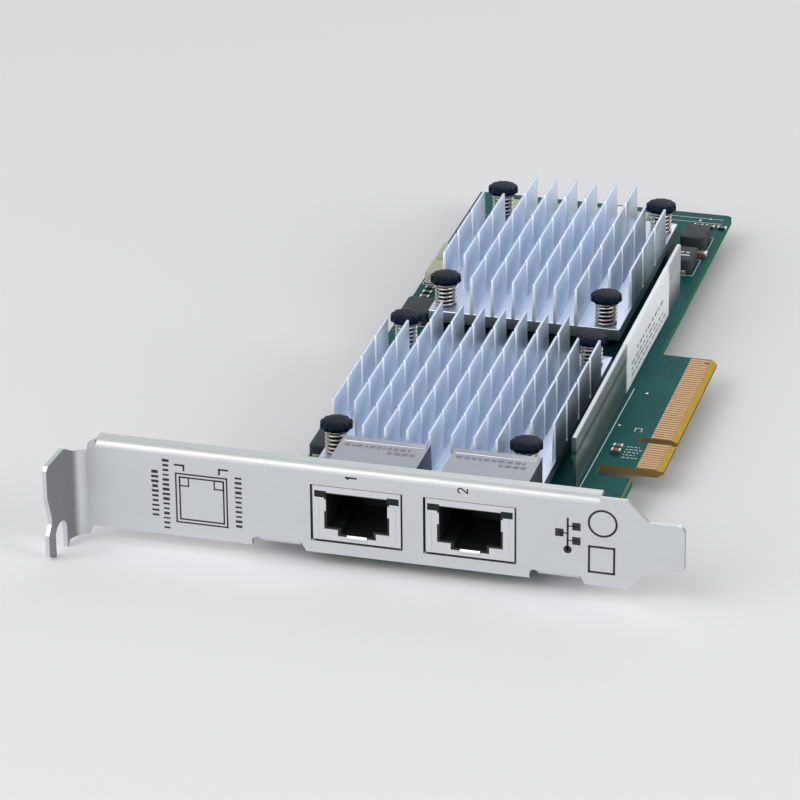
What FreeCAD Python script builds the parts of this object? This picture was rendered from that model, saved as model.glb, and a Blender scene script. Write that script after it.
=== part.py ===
"""Two-port network interface card: a low-profile board on a full-height rear bracket.

Frame: X runs along the bracket from its screw tab to its tongue, Y runs back into the card,
Z points out of the component side. The origin lies on the outer face of the bracket, at half
its width, midway between the two sockets. All lengths are in millimetres.
"""
import FreeCAD, Part
import math
import os

Vector = FreeCAD.Vector

# Rear bracket (full-height card bracket)
BRACKET_LENGTH = 120.02
BRACKET_WIDTH = 18.42
BRACKET_SHEET = 0.86
TAB_FACE_TO_SOCKETS = 67.87
TONGUE_WIDTH = 10.19
TONGUE_LENGTH = 6.9
TONGUE_TAPER = 4.1
TONGUE_CORNER = 1.5
TAB_DEPTH = 11.43
TAB_LEAN = 9.0
TAB_BEND_RADIUS = 2.5
TAB_DROP = 2.9
TAB_SHOULDER = 2.7
TAB_EAR_WIDTH = 4.1
TAB_EAR_RISE = 1.1
TAB_LOWER_CUT = 1.0
SHOULDER_WIDTH = 3.9
SHOULDER_DROP = 0.7
TAB_SLOT_WIDTH = 4.42
TAB_SLOT_FROM_FACE = 6.6
TAB_SLOT_TOP = 3.6
FLANGE_START = 5.3
FLANGE_LENGTH = 98.5
FLANGE_DEPTH = 3.3
FLANGE_BEND_RADIUS = 0.6
FOOT_RISE = 0.74
FOOT_WIDTH = 7.8
FOOT_DEPTH = 10.4
FOOT_BEND_RADIUS = 0.2
FOOT_RELIEF = 1.8
FOOT_STEP = 1.1
FOOT_FROM_FACE = (41.9, 96.15)
FOOT_SCREW_FROM_FACE = 6.3

# Sockets
SOCKET_PITCH = 22.05
PORT_WINDOW_WIDTH = 18.05
PORT_WINDOW_HEIGHT = 11.9
PORT_WINDOW_RISE = 2.45
SHIELD_WALL = 0.25
SHIELD_WIDTH = 17.2
SHIELD_FRONT = 0.25
SHIELD_DEPTH = 22.0
SHIELD_HEIGHT = 10.9
SHIELD_LIP = 0.4
APERTURE_WIDTH = 12.75
APERTURE_HEIGHT = 7.65
APERTURE_TOP_DROP = 1.3
SIDE_FINGER_LENGTH = 2.4
SIDE_FINGER_REACH = 0.36
SIDE_FINGER_DROP = 1.5
LATCH_GAP_WIDTH = 7.45
LATCH_GAP_DEPTH = 1.3
LIGHT_WIDTH = 2.3
LIGHT_HEIGHT = 1.4
LIGHT_LENGTH = 3.0
LIGHT_RISE = 0.3
HOUSING_CLEARANCE = 0.1
PLUG_WIDTH = 11.9
PLUG_HEIGHT = 7.0
PLUG_DEPTH = 13.0
LATCH_CHANNEL_WIDTH = 6.3
CONTACT_PITCH = 1.02
CONTACT_WIDTH = 0.42
CONTACT_THICKNESS = 0.3
CONTACT_COUNT = 8
CONTACT_SAG = 1.7

# Board
BOARD_THICKNESS = 1.57
BOARD_HEIGHT = 68.9
BOARD_LENGTH = 167.45
BOARD_TO_BRACKET = 0.79
EDGE_FROM_FACE = 106.45
EDGE_TAB_START = 43.4
EDGE_TAB_SHORT = 11.65
EDGE_TAB_KEY = 1.9
EDGE_TAB_LONG = 38.65
EDGE_KEY_DEPTH = 7.9
EDGE_BEVEL = 1.3
EDGE_BEVEL_ANGLE = 20.0
EDGE_TAB_CORNER = 0.8
NEAR_SHOULDER = 5.0
FAR_SHOULDER = 12.05
EDGE_SLOT_WIDTH = 4.7
EDGE_SLOT_DEPTH = 12.65
SHOULDER_RADIUS = 1.5
PAD_PITCH = 1.0
PAD_WIDTH = 0.7
PAD_LENGTH = 4.1
PAD_THICKNESS = 0.05
PAD_SHORT_CUT = 1.0
PADS_SHORT = 11
PADS_LONG = 38

# Heat sinks
SINK_TOP = 12.85
FIN_HEIGHT = 8.2
SINK_BASE = 2.55
FIN_THICKNESS = 0.8
FIN_PITCH = 4.42
FIN_GAP = 1.2
FRONT_SINK_LEFT = 42.4
FRONT_SINK_START = 23.5
FRONT_SINK_COLUMNS = 11
FRONT_SINK_ROWS = 6
FRONT_ROW_PITCH = 10.02
REAR_SINK_LEFT = 45.25
REAR_SINK_START = 95.4
REAR_SINK_COLUMNS = 10
REAR_SINK_ROWS = 5
REAR_ROW_PITCH = 11.5
CLEARED_COLUMNS = 2

# Spring pins that hold the sinks down
FRONT_PIN_INSETS = ((2.75, 3.9), (2.75, 3.9), (4.4, 4.2), (3.25, 4.8))
REAR_PIN_INSETS = ((2.75, 3.9), (2.75, 3.9), (3.4, 2.7), (2.6, 5.0))
CAP_RADIUS = 3.35
CAP_RIM = 1.1
CAP_DOME = 0.65
CAP_BELOW_FINS = 1.3
CAP_CROWN = 0.6
CAP_SCALLOPS = 8
CAP_SCALLOP_DEPTH = 0.25
SHANK_SIDES = 8
SHANK_RADIUS = 1.3
SHANK_HOLE_CLEARANCE = 0.25
SHANK_BARB = 0.45
SHANK_TIP = 1.5
SPRING_RADIUS = 1.95
SPRING_WIRE = 0.5
SPRING_TURNS = 5
SPRING_STEPS = 8
SPRING_CLEARANCE = 0.08

# Chips under the sinks
PAD_GAP = 0.2
FRONT_CHIP_SIZE = 25.0
REAR_CHIP_SIZE = 21.0
CHIP_SUBSTRATE = 0.9
CHIP_LID_INSET = 1.6

# Stiffener and its label
STIFFENER_SHEET = 0.45
STIFFENER_FROM_FACE = 91.9
STIFFENER_HEIGHT = 11.2
STIFFENER_HEM = 4.7
STIFFENER_START = 31.4
STIFFENER_LENGTH = 95.0
STIFFENER_EDGE_BREAK = 0.15
LABEL_SHEET = 0.15
LABEL_START = 75.4
LABEL_LENGTH = 39.2
LABEL_MARGIN = 0.5
LABEL_SLANT = 1.0

# Fixing screws
SCREW_RADIUS = 1.5
SCREW_HEAD_RADIUS = 2.75
SCREW_HEAD_HEIGHT = 1.6
SCREW_HEAD_TAPER = 0.72
SCREW_CLEARANCE = 0.15
SCREW_RECESS_WIDTH = 0.7
SCREW_RECESS_LENGTH = 3.0
SCREW_RECESS_DEPTH = 0.8

# Small parts seated on the board: width, length, height and, where it is cut, corner; a place or a start is
# the centre of a part, measured from the tab face and from the bracket's face
INDUCTOR_BESIDE = (3.9, 9.2, 2.8, 0.9)
INDUCTOR_BESIDE_PLACE = (39.85, 36.8)
INDUCTOR_MIDWAY = (6.2, 8.6, 2.6, 0.4)
INDUCTOR_MIDWAY_PLACE = (41.4, 101.6)
INDUCTOR_REAR = (5.4, 7.6, 3.2, 0.4)
INDUCTOR_REAR_PLACES = ((89.7, 152.2), (89.4, 139.9))
BULK_CAPACITOR = (4.3, 7.3, 2.6)
BULK_LEFT_PLACES = ((40.5, 121.6), (40.5, 130.6))
BULK_REAR_START = (48.5, 157.4)
BULK_REAR_STEP = (9.0, 0)
BULK_REAR_COUNT = 4
LARGE_CERAMIC = (3.2, 1.6, 1.3)
LARGE_CERAMIC_PLACES = ((92.0, 145.9), (84.9, 84.9))
LARGE_CERAMIC_START = (52.9, 85.2)
LARGE_CERAMIC_STEP = (0, 3.4)
LARGE_CERAMIC_COUNT = 3
SMALL_CERAMIC = (2.0, 1.2, 0.8)
SUPPLY_CERAMIC_START = (66.7, 84.6)
EDGE_CERAMIC_START = (95.7, 49.3)
EDGE_CERAMIC_STEP = (0, 2.0)
EDGE_CERAMIC_COUNT = 2
RESISTOR = (2.0, 1.2, 0.55)
SUPPLY_RESISTOR_START = (76.6, 85.0)
REAR_RESISTOR_START = (88.4, 161.8)
REAR_RESISTOR_STEP = (2.6, 0)
REAR_RESISTOR_COUNT = 3
LEFT_RESISTOR_START = (40.2, 108.6)
LEFT_RESISTOR_COUNT = 4
FRONT_RESISTOR_START = (97.0, 17.4)
FRONT_RESISTOR_COUNT = 3
RESISTOR_STEP = (0, 2.4)
SUPPLY_STEP = (0, 2.6)
SUPPLY_COUNT = 4
REGULATOR = (5.0, 5.0, 0.9)
REGULATOR_PLACES = ((47.4, 88.9), (71.9, 88.9))
FLASH_CHIP = (5.3, 7.9, 1.8)
FLASH_CHIP_PLACE = (60.3, 88.9)
CRYSTAL = (3.2, 5.0, 1.2, 0.4)
CRYSTAL_PLACES = ((81.1, 89.0), (70.9, 163.4))

# Datums worked out from the sizes above
FACE_X = -TAB_FACE_TO_SOCKETS
BRACKET_RIGHT = FACE_X + BRACKET_LENGTH
BRACKET_BOTTOM = -BRACKET_WIDTH / 2
BRACKET_TOP = BRACKET_WIDTH / 2
FOOT_BOTTOM = BRACKET_BOTTOM + FOOT_RISE
BOARD_BOTTOM = FOOT_BOTTOM + BRACKET_SHEET
BOARD_TOP = BOARD_BOTTOM + BOARD_THICKNESS
BOARD_FRONT = BRACKET_SHEET + BOARD_TO_BRACKET
BOARD_BACK = BOARD_FRONT + BOARD_LENGTH
EDGE_X = FACE_X + EDGE_FROM_FACE
BOARD_LEFT = EDGE_X - BOARD_HEIGHT
EDGE_TAB_END = EDGE_TAB_START + EDGE_TAB_SHORT + EDGE_TAB_KEY + EDGE_TAB_LONG
SINK_BASE_TOP = BOARD_TOP + SINK_TOP - FIN_HEIGHT
SINK_BASE_BOTTOM = SINK_BASE_TOP - SINK_BASE
CAP_BOTTOM = BOARD_TOP + SINK_TOP - CAP_BELOW_FINS - CAP_DOME - CAP_RIM
PORT_CENTRES = (-SOCKET_PITCH / 2, SOCKET_PITCH / 2)


def box(x0, x1, y0, y1, z0, z1):
    """Return a block between two opposite corners."""
    return Part.makeBox(x1 - x0, y1 - y0, z1 - z0, Vector(x0, y0, z0))


def post(x, y, z0, z1, radius):
    """Return an upright cylinder."""
    return Part.makeCylinder(radius, z1 - z0, Vector(x, y, z0))


def prism(points, reach):
    """Extrude a closed polygon of vectors along the vector reach."""
    return Part.Face(Part.makePolygon(points + points[:1])).extrude(reach)


def tapered(x, y, sides, low, high, dip=1.0):
    """Return a many-sided frustum from low to high, each a height and a corner radius; every second
    corner is drawn in by the factor dip."""
    rings = []
    for z, radius in (low, high):
        ring = []
        for corner in range(sides):
            turn = 2 * math.pi * (corner + 0.5) / sides
            reach = radius * (dip if corner % 2 else 1)
            ring.append(Vector(x + reach * math.cos(turn), y + reach * math.sin(turn), z))
        rings.append(ring)
    faces = [Part.Face(Part.makePolygon(ring + ring[:1])) for ring in rings]
    for (a, b), (c, d) in zip(pairs_round(rings[0]), pairs_round(rings[1])):
        faces.append(Part.Face(Part.makePolygon([a, b, d, c, a])))
    solid = Part.Solid(Part.Shell(faces))
    if solid.Volume < 0:
        solid.reverse()
    return solid


def pairs_round(ring):
    """Return each point of a closed ring with the next one."""
    return list(zip(ring, ring[1:] + ring[:1]))


def shank_hole(x, y, low, high):
    """Return the many-sided hole that clears a pin's shank."""
    radius = SHANK_RADIUS + SHANK_HOLE_CLEARANCE
    return tapered(x, y, SHANK_SIDES, (low - 1, radius), (high + 1, radius))


def arc(centre, radius, start, end, across, up):
    """Return an arc edge; angles are measured from the direction across towards up."""
    def spot(angle):
        turn = math.radians(angle)
        return centre + across * (radius * math.cos(turn)) + up * (radius * math.sin(turn))
    return Part.Arc(spot(start), spot((start + end) / 2), spot(end)).toShape()


def fused(shapes):
    """Join shapes into one clean solid."""
    return shapes[0].multiFuse(shapes[1:]).removeSplitter()


def bent_lip(x0, x1, outer_z, inward, depth, radius):
    """Return a strip folded back from the plate, with its bend; inward is the way to the plate."""
    outer = radius + BRACKET_SHEET
    centre = Vector(x0, outer, outer_z + inward * outer)
    back = Vector(0, -1, 0)
    out = Vector(0, 0, -inward)
    bend_out = arc(centre, outer, 0, 90, back, out)
    bend_in = arc(centre, radius, 90, 0, back, out)
    tip = Vector(x0, depth, outer_z)
    tip_in = Vector(x0, depth, outer_z + inward * BRACKET_SHEET)
    edges = [
        bend_out,
        Part.LineSegment(bend_out.Vertexes[-1].Point, tip).toShape(),
        Part.LineSegment(tip, tip_in).toShape(),
        Part.LineSegment(tip_in, Vector(x0, outer, tip_in.z)).toShape(),
        bend_in,
        Part.LineSegment(Vector(x0, BRACKET_SHEET, centre.z), Vector(x0, 0, centre.z)).toShape(),
    ]
    return Part.Face(Part.Wire(Part.__sortEdges__(edges))).extrude(Vector(x1 - x0, 0, 0))


def bracket_plate():
    """Return the flat plate with its tapered tongue, before the windows are cut."""
    bend_end = FACE_X + TAB_BEND_RADIUS + BRACKET_SHEET
    ear_end = FACE_X + TAB_EAR_WIDTH
    taper_end = BRACKET_RIGHT - TONGUE_LENGTH
    taper_start = taper_end - TONGUE_TAPER
    tongue = TONGUE_WIDTH / 2
    outline = [
        Vector(bend_end, 0, BRACKET_BOTTOM - TAB_DROP + TAB_EAR_RISE),
        Vector(ear_end, 0, BRACKET_BOTTOM),
        Vector(taper_start, 0, BRACKET_BOTTOM),
        Vector(taper_end, 0, -tongue),
        Vector(BRACKET_RIGHT, 0, -tongue),
        Vector(BRACKET_RIGHT, 0, tongue),
        Vector(taper_end, 0, tongue),
        Vector(taper_start, 0, BRACKET_TOP),
        Vector(FACE_X + FLANGE_START, 0, BRACKET_TOP),
        Vector(FACE_X + SHOULDER_WIDTH, 0, BRACKET_TOP - SHOULDER_DROP),
        Vector(bend_end, 0, BRACKET_TOP - TAB_SHOULDER),
    ]
    plate = prism(outline, Vector(0, BRACKET_SHEET, 0))
    corners = [e for e in plate.Edges if all(abs(v.X - BRACKET_RIGHT) < 1e-6 for v in e.Vertexes)
               and abs(e.Vertexes[0].Z - e.Vertexes[-1].Z) < 1e-6]
    return plate.makeFillet(TONGUE_CORNER, corners)


def bracket_tab():
    """Return the screw tab with its bend, trimmed to its hooked outline and slotted."""
    centre = Vector(FACE_X + TAB_BEND_RADIUS + BRACKET_SHEET, -TAB_BEND_RADIUS, BRACKET_BOTTOM - TAB_DROP)
    across = Vector(1, 0, 0)
    up = Vector(0, 1, 0)
    sweep = 90 - TAB_LEAN
    outer = TAB_BEND_RADIUS + BRACKET_SHEET
    inner_bend = arc(centre, TAB_BEND_RADIUS, 90, 90 + sweep, across, up)
    outer_bend = arc(centre, outer, 90 + sweep, 90, across, up)
    lean = math.radians(TAB_LEAN)
    away = Vector(-math.sin(lean), -math.cos(lean), 0)
    inner_root = inner_bend.Vertexes[-1].Point
    outer_root = outer_bend.Vertexes[0].Point
    inner_tip = inner_root + away * ((TAB_DEPTH + inner_root.y) / math.cos(lean))
    outer_tip = inner_tip + (outer_root - inner_root)
    edges = [
        inner_bend,
        Part.LineSegment(inner_root, inner_tip).toShape(),
        Part.LineSegment(inner_tip, outer_tip).toShape(),
        Part.LineSegment(outer_tip, outer_root).toShape(),
        outer_bend,
        Part.LineSegment(outer_bend.Vertexes[-1].Point, inner_bend.Vertexes[0].Point).toShape(),
    ]
    strip = Part.Face(Part.Wire(Part.__sortEdges__(edges)))
    strip = strip.extrude(Vector(0, 0, BRACKET_WIDTH + TAB_DROP))
    far = FACE_X - TAB_DEPTH
    low = BRACKET_BOTTOM - TAB_DROP
    slot_far = TAB_SLOT_FROM_FACE + TAB_SLOT_WIDTH / 2
    slot_near = TAB_SLOT_FROM_FACE - TAB_SLOT_WIDTH / 2
    neck = (slot_far + TAB_DEPTH) / 2
    outline = [
        Vector(far, 1, low + TAB_EAR_RISE),
        Vector(far, -TAB_LOWER_CUT, low + TAB_EAR_RISE * 0.7),
        Vector(far, -slot_near + TAB_LOWER_CUT, low + TAB_EAR_RISE),
        Vector(far, -slot_near + 0.3, low),
        Vector(far, -slot_far - 0.3, low),
        Vector(far, -TAB_DEPTH + 0.2, low + 1.0),
        Vector(far, -TAB_DEPTH - 1, low + 3.0),
        Vector(far, -TAB_DEPTH, BRACKET_BOTTOM + 2.6),
        Vector(far, -neck, BRACKET_BOTTOM + 4.6),
        Vector(far, -neck, BRACKET_BOTTOM + 6.4),
        Vector(far, -TAB_DEPTH, BRACKET_BOTTOM + 10.8),
        Vector(far, -TAB_DEPTH - 1, BRACKET_BOTTOM + 11.3),
        Vector(far, -TAB_DEPTH - 1, BRACKET_TOP - 2.1),
        Vector(far, -TAB_DEPTH, BRACKET_TOP - 2.1),
        Vector(far, -TAB_DEPTH + 0.8, BRACKET_TOP - 1.2),
        Vector(far, -TAB_BEND_RADIUS - 1.8, BRACKET_TOP - 0.4),
        Vector(far, -BRACKET_SHEET / 2, BRACKET_TOP - TAB_SHOULDER),
        Vector(far, 1, BRACKET_TOP - TAB_SHOULDER),
    ]
    tab = strip.common(prism(outline, Vector(2 * TAB_DEPTH + BRACKET_SHEET, 0, 0)))
    half = TAB_SLOT_WIDTH / 2
    slot_centre = BRACKET_BOTTOM + TAB_SLOT_TOP - half
    reach = 2 * TAB_DEPTH
    slot = box(far, far + reach, -slot_far, -slot_far + TAB_SLOT_WIDTH, low - 1, slot_centre)
    slot_end = Part.makeCylinder(half, reach, Vector(far, -TAB_SLOT_FROM_FACE, slot_centre), Vector(1, 0, 0))
    return tab.cut(slot.fuse(slot_end))


def foot_span(foot):
    """Return the left and right side of a board foot of the bracket."""
    middle = FACE_X + FOOT_FROM_FACE[foot]
    return middle - FOOT_WIDTH / 2, middle + FOOT_WIDTH / 2


def foot_screw_axis(foot):
    """Return the place of the fixing screw on a board foot."""
    return FACE_X + FOOT_FROM_FACE[foot], FOOT_SCREW_FROM_FACE


def io_bracket():
    """Return the folded steel bracket: plate, screw tab, stiff flange and two board feet."""
    plate = bracket_plate()
    flange_left = FACE_X + FLANGE_START
    flange_right = flange_left + FLANGE_LENGTH
    flange_edge = BRACKET_TOP - FLANGE_BEND_RADIUS - BRACKET_SHEET
    plate = plate.cut(box(flange_left, flange_right, -1, 2, flange_edge, BRACKET_TOP + 1))
    lips = [bent_lip(flange_left, flange_right, BRACKET_TOP, -1, FLANGE_DEPTH, FLANGE_BEND_RADIUS)]
    foot_edge = FOOT_BOTTOM + FOOT_BEND_RADIUS + BRACKET_SHEET
    for foot in range(len(FOOT_FROM_FACE)):
        left, right = foot_span(foot)
        plate = plate.cut(box(left, right, -1, 2, BRACKET_BOTTOM - 1, foot_edge))
        slit = box(left - FOOT_RELIEF, left, -1, 2, BRACKET_BOTTOM - 1, foot_edge - FOOT_RELIEF / 2)
        end = Part.makeCylinder(FOOT_RELIEF / 2, 3, Vector(left - FOOT_RELIEF / 2, -1, foot_edge - FOOT_RELIEF / 2),
                                Vector(0, 1, 0))
        wedge = prism([Vector(right, -1, foot_edge), Vector(right + FOOT_STEP, -1, BRACKET_BOTTOM),
                       Vector(right + FOOT_STEP, -1, BRACKET_BOTTOM - 1),
                       Vector(right, -1, BRACKET_BOTTOM - 1)], Vector(0, 3, 0))
        plate = plate.cut(slit).cut(end).cut(wedge)
        lip = bent_lip(left, right, FOOT_BOTTOM, 1, FOOT_DEPTH, FOOT_BEND_RADIUS)
        x, y = foot_screw_axis(foot)
        lips.append(lip.cut(post(x, y, FOOT_BOTTOM - 1, BOARD_TOP, SCREW_RADIUS)))
    for centre in PORT_CENTRES:
        low = BRACKET_BOTTOM + PORT_WINDOW_RISE
        half = PORT_WINDOW_WIDTH / 2
        plate = plate.cut(box(centre - half, centre + half, -1, 2, low, low + PORT_WINDOW_HEIGHT))
    return fused([plate, bracket_tab()] + lips)


def bracket_screws():
    """Return the pan-head screws that hold the board on the bracket feet."""
    screws = []
    for foot in range(len(FOOT_FROM_FACE)):
        x, y = foot_screw_axis(foot)
        shank = post(x, y, FOOT_BOTTOM, BOARD_TOP, SCREW_RADIUS)
        head = Part.makeCone(SCREW_HEAD_RADIUS, SCREW_HEAD_RADIUS * SCREW_HEAD_TAPER, SCREW_HEAD_HEIGHT,
                             Vector(x, y, BOARD_TOP))
        top = BOARD_TOP + SCREW_HEAD_HEIGHT
        reach = SCREW_RECESS_LENGTH / 2
        half = SCREW_RECESS_WIDTH / 2
        slot_a = box(x - reach, x + reach, y - half, y + half, top - SCREW_RECESS_DEPTH, top + 1)
        slot_b = box(x - half, x + half, y - reach, y + reach, top - SCREW_RECESS_DEPTH, top + 1)
        screws.append(shank.fuse(head).cut(slot_a.fuse(slot_b)).removeSplitter())
    return Part.makeCompound(screws)


def pin_places(left, start, columns, rows, row_pitch, insets):
    """Return the four spring-pin axes of a sink, one in each cleared corner."""
    right = left + (columns - 1) * FIN_PITCH + FIN_THICKNESS
    back = start + rows * row_pitch - FIN_GAP
    corners = ((left, start, 1, 1), (left, back, 1, -1), (right, start, -1, 1), (right, back, -1, -1))
    return [(x + inset_x * way_x, y + inset_y * way_y)
            for (x, y, way_x, way_y), (inset_x, inset_y) in zip(corners, insets)]


FRONT_SINK = (FACE_X + FRONT_SINK_LEFT, FRONT_SINK_START, FRONT_SINK_COLUMNS, FRONT_SINK_ROWS,
              FRONT_ROW_PITCH, FRONT_PIN_INSETS)
REAR_SINK = (FACE_X + REAR_SINK_LEFT, REAR_SINK_START, REAR_SINK_COLUMNS, REAR_SINK_ROWS,
             REAR_ROW_PITCH, REAR_PIN_INSETS)


def sink_centre(left, start, columns, rows, row_pitch, insets):
    """Return the middle of a sink's base."""
    width = (columns - 1) * FIN_PITCH + FIN_THICKNESS
    length = rows * row_pitch - FIN_GAP
    return left + width / 2, start + length / 2


def circuit_board():
    """Return the board: shouldered outline, keyed and bevelled edge tab, and its holes."""
    near = EDGE_X - NEAR_SHOULDER
    far = EDGE_X - FAR_SHOULDER
    slot_start = EDGE_TAB_START - EDGE_SLOT_WIDTH
    outline = [
        Vector(BOARD_LEFT, BOARD_FRONT, BOARD_BOTTOM),
        Vector(near, BOARD_FRONT, BOARD_BOTTOM),
        Vector(near, slot_start, BOARD_BOTTOM),
        Vector(EDGE_X - EDGE_SLOT_DEPTH, slot_start, BOARD_BOTTOM),
        Vector(EDGE_X - EDGE_SLOT_DEPTH, EDGE_TAB_START, BOARD_BOTTOM),
        Vector(EDGE_X - EDGE_TAB_CORNER, EDGE_TAB_START, BOARD_BOTTOM),
        Vector(EDGE_X, EDGE_TAB_START + EDGE_TAB_CORNER, BOARD_BOTTOM),
        Vector(EDGE_X, EDGE_TAB_END - EDGE_TAB_CORNER, BOARD_BOTTOM),
        Vector(EDGE_X - EDGE_TAB_CORNER, EDGE_TAB_END, BOARD_BOTTOM),
        Vector(far, EDGE_TAB_END, BOARD_BOTTOM),
        Vector(far, BOARD_BACK - EDGE_TAB_CORNER, BOARD_BOTTOM),
        Vector(far - EDGE_TAB_CORNER, BOARD_BACK, BOARD_BOTTOM),
        Vector(BOARD_LEFT, BOARD_BACK, BOARD_BOTTOM),
    ]
    board = prism(outline, Vector(0, 0, BOARD_THICKNESS))
    key_start = EDGE_TAB_START + EDGE_TAB_SHORT
    key_end = key_start + EDGE_TAB_KEY
    key_round = EDGE_TAB_KEY / 2
    key_x = EDGE_X - EDGE_KEY_DEPTH + key_round
    key = box(key_x, EDGE_X + 1, key_start, key_end, BOARD_BOTTOM - 1, BOARD_TOP + 1)
    cuts = [key, post(key_x, key_start + key_round, BOARD_BOTTOM - 1, BOARD_TOP + 1, key_round)]
    drop = EDGE_BEVEL * math.tan(math.radians(EDGE_BEVEL_ANGLE))
    for level, way in ((BOARD_TOP, -1), (BOARD_BOTTOM, 1)):
        wedge = [
            Vector(EDGE_X - EDGE_BEVEL, EDGE_TAB_START - 1, level),
            Vector(EDGE_X, EDGE_TAB_START - 1, level + way * drop),
            Vector(EDGE_X + 1, EDGE_TAB_START - 1, level + way * drop),
            Vector(EDGE_X + 1, EDGE_TAB_START - 1, level - way),
            Vector(EDGE_X - EDGE_BEVEL, EDGE_TAB_START - 1, level - way),
        ]
        cuts.append(prism(wedge, Vector(0, EDGE_TAB_END - EDGE_TAB_START + 2, 0)))
    for x, y in pin_places(*FRONT_SINK) + pin_places(*REAR_SINK):
        cuts.append(shank_hole(x, y, BOARD_BOTTOM, BOARD_TOP))
    for foot in range(len(FOOT_FROM_FACE)):
        x, y = foot_screw_axis(foot)
        cuts.append(post(x, y, BOARD_BOTTOM - 1, BOARD_TOP + 1, SCREW_RADIUS + SCREW_CLEARANCE))
    return board.cut(cuts[0].multiFuse(cuts[1:])).removeSplitter()


def edge_contacts(low, high, short_pad):
    """Return the row of contact pads on one face of the edge tab; short_pad is the stepped-back one."""
    pads = []
    outer = EDGE_X - EDGE_BEVEL
    centres = [EDGE_TAB_START + EDGE_TAB_SHORT - PAD_PITCH * (PADS_SHORT - n) + PAD_PITCH / 2 - 0.35
               for n in range(PADS_SHORT)]
    key_end = EDGE_TAB_START + EDGE_TAB_SHORT + EDGE_TAB_KEY
    centres += [key_end + 0.35 + PAD_PITCH * (n + 0.3) for n in range(PADS_LONG)]
    for number, y in enumerate(centres):
        reach = PAD_SHORT_CUT if number == short_pad else 0
        pads.append(box(outer - PAD_LENGTH, outer - reach, y - PAD_WIDTH / 2, y + PAD_WIDTH / 2, low, high))
    return Part.makeCompound(pads)


def aperture_outline(y, width, height, latch_width, latch_depth, top):
    """Return the stepped socket outline of a centred plug hole, as offsets about x = 0."""
    half = width / 2
    latch = latch_width / 2
    bottom = top - height
    return [
        Vector(-half, y, top),
        Vector(half, y, top),
        Vector(half, y, bottom),
        Vector(latch, y, bottom),
        Vector(latch, y, bottom - latch_depth),
        Vector(-latch, y, bottom - latch_depth),
        Vector(-latch, y, bottom),
        Vector(-half, y, bottom),
    ]


SHIELD_TOP = BOARD_TOP + SHIELD_HEIGHT
APERTURE_TOP = SHIELD_TOP - APERTURE_TOP_DROP
PLUG_TOP = APERTURE_TOP - (APERTURE_HEIGHT - PLUG_HEIGHT) / 2


def light_boxes(centre, grow):
    """Return the two blocks of a jack's status lights, grown sideways by grow."""
    outer = SHIELD_WIDTH / 2 - SHIELD_WALL - HOUSING_CLEARANCE
    inner = outer - LIGHT_WIDTH
    top = APERTURE_TOP + LIGHT_RISE
    return [box(centre + side * (inner if side > 0 else outer) - grow,
                centre + side * (outer if side > 0 else inner) + grow,
                SHIELD_FRONT, SHIELD_FRONT + LIGHT_LENGTH, top - LIGHT_HEIGHT, top)
            for side in (-1, 1)]


def jack_shield(centre):
    """Return the folded metal can round one socket, open underneath and at the plug hole."""
    half = SHIELD_WIDTH / 2
    back = SHIELD_FRONT + SHIELD_DEPTH
    can = box(centre - half, centre + half, SHIELD_FRONT, back, BOARD_TOP, SHIELD_TOP)
    inside = box(centre - half + SHIELD_WALL, centre + half - SHIELD_WALL, SHIELD_FRONT + SHIELD_WALL,
                 back - SHIELD_WALL, BOARD_TOP - 1, SHIELD_TOP - SHIELD_WALL)
    lip = box(centre - half, centre + half, SHIELD_FRONT, SHIELD_FRONT + SHIELD_WALL,
              BOARD_TOP - SHIELD_LIP, BOARD_TOP)
    outline = aperture_outline(SHIELD_FRONT - 1, APERTURE_WIDTH, APERTURE_HEIGHT, LATCH_GAP_WIDTH,
                               LATCH_GAP_DEPTH, APERTURE_TOP)
    hole = prism(outline, Vector(0, 2, 0))
    hole.translate(Vector(centre, 0, 0))
    shield = fused([can.cut(inside), lip]).cut(hole)
    for light in light_boxes(centre, 0.02):
        shield = shield.cut(light)
    edge = APERTURE_WIDTH / 2
    finger_top = APERTURE_TOP - SIDE_FINGER_DROP
    fingers = [box(centre + min(way * edge, way * (edge - SIDE_FINGER_REACH)),
                   centre + max(way * edge, way * (edge - SIDE_FINGER_REACH)),
                   SHIELD_FRONT, SHIELD_FRONT + SHIELD_WALL, finger_top - SIDE_FINGER_LENGTH, finger_top)
               for way in (-1, 1)]
    return fused([shield] + fingers)


def jack_housing(centre):
    """Return the moulded socket body with its plug hole, latch channel and light pockets."""
    side = SHIELD_WIDTH / 2 - SHIELD_WALL - HOUSING_CLEARANCE
    front = SHIELD_FRONT + SHIELD_WALL
    back = SHIELD_FRONT + SHIELD_DEPTH - SHIELD_WALL - HOUSING_CLEARANCE
    body = box(centre - side, centre + side, front, back, BOARD_TOP,
               SHIELD_TOP - SHIELD_WALL - HOUSING_CLEARANCE)
    outline = aperture_outline(front - 1, PLUG_WIDTH, PLUG_HEIGHT, LATCH_CHANNEL_WIDTH,
                               LATCH_GAP_DEPTH, PLUG_TOP)
    hole = prism(outline, Vector(0, PLUG_DEPTH + 1, 0))
    hole.translate(Vector(centre, 0, 0))
    body = body.cut(hole)
    for light in light_boxes(centre, 0.0):
        body = body.cut(light)
    return body


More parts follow.
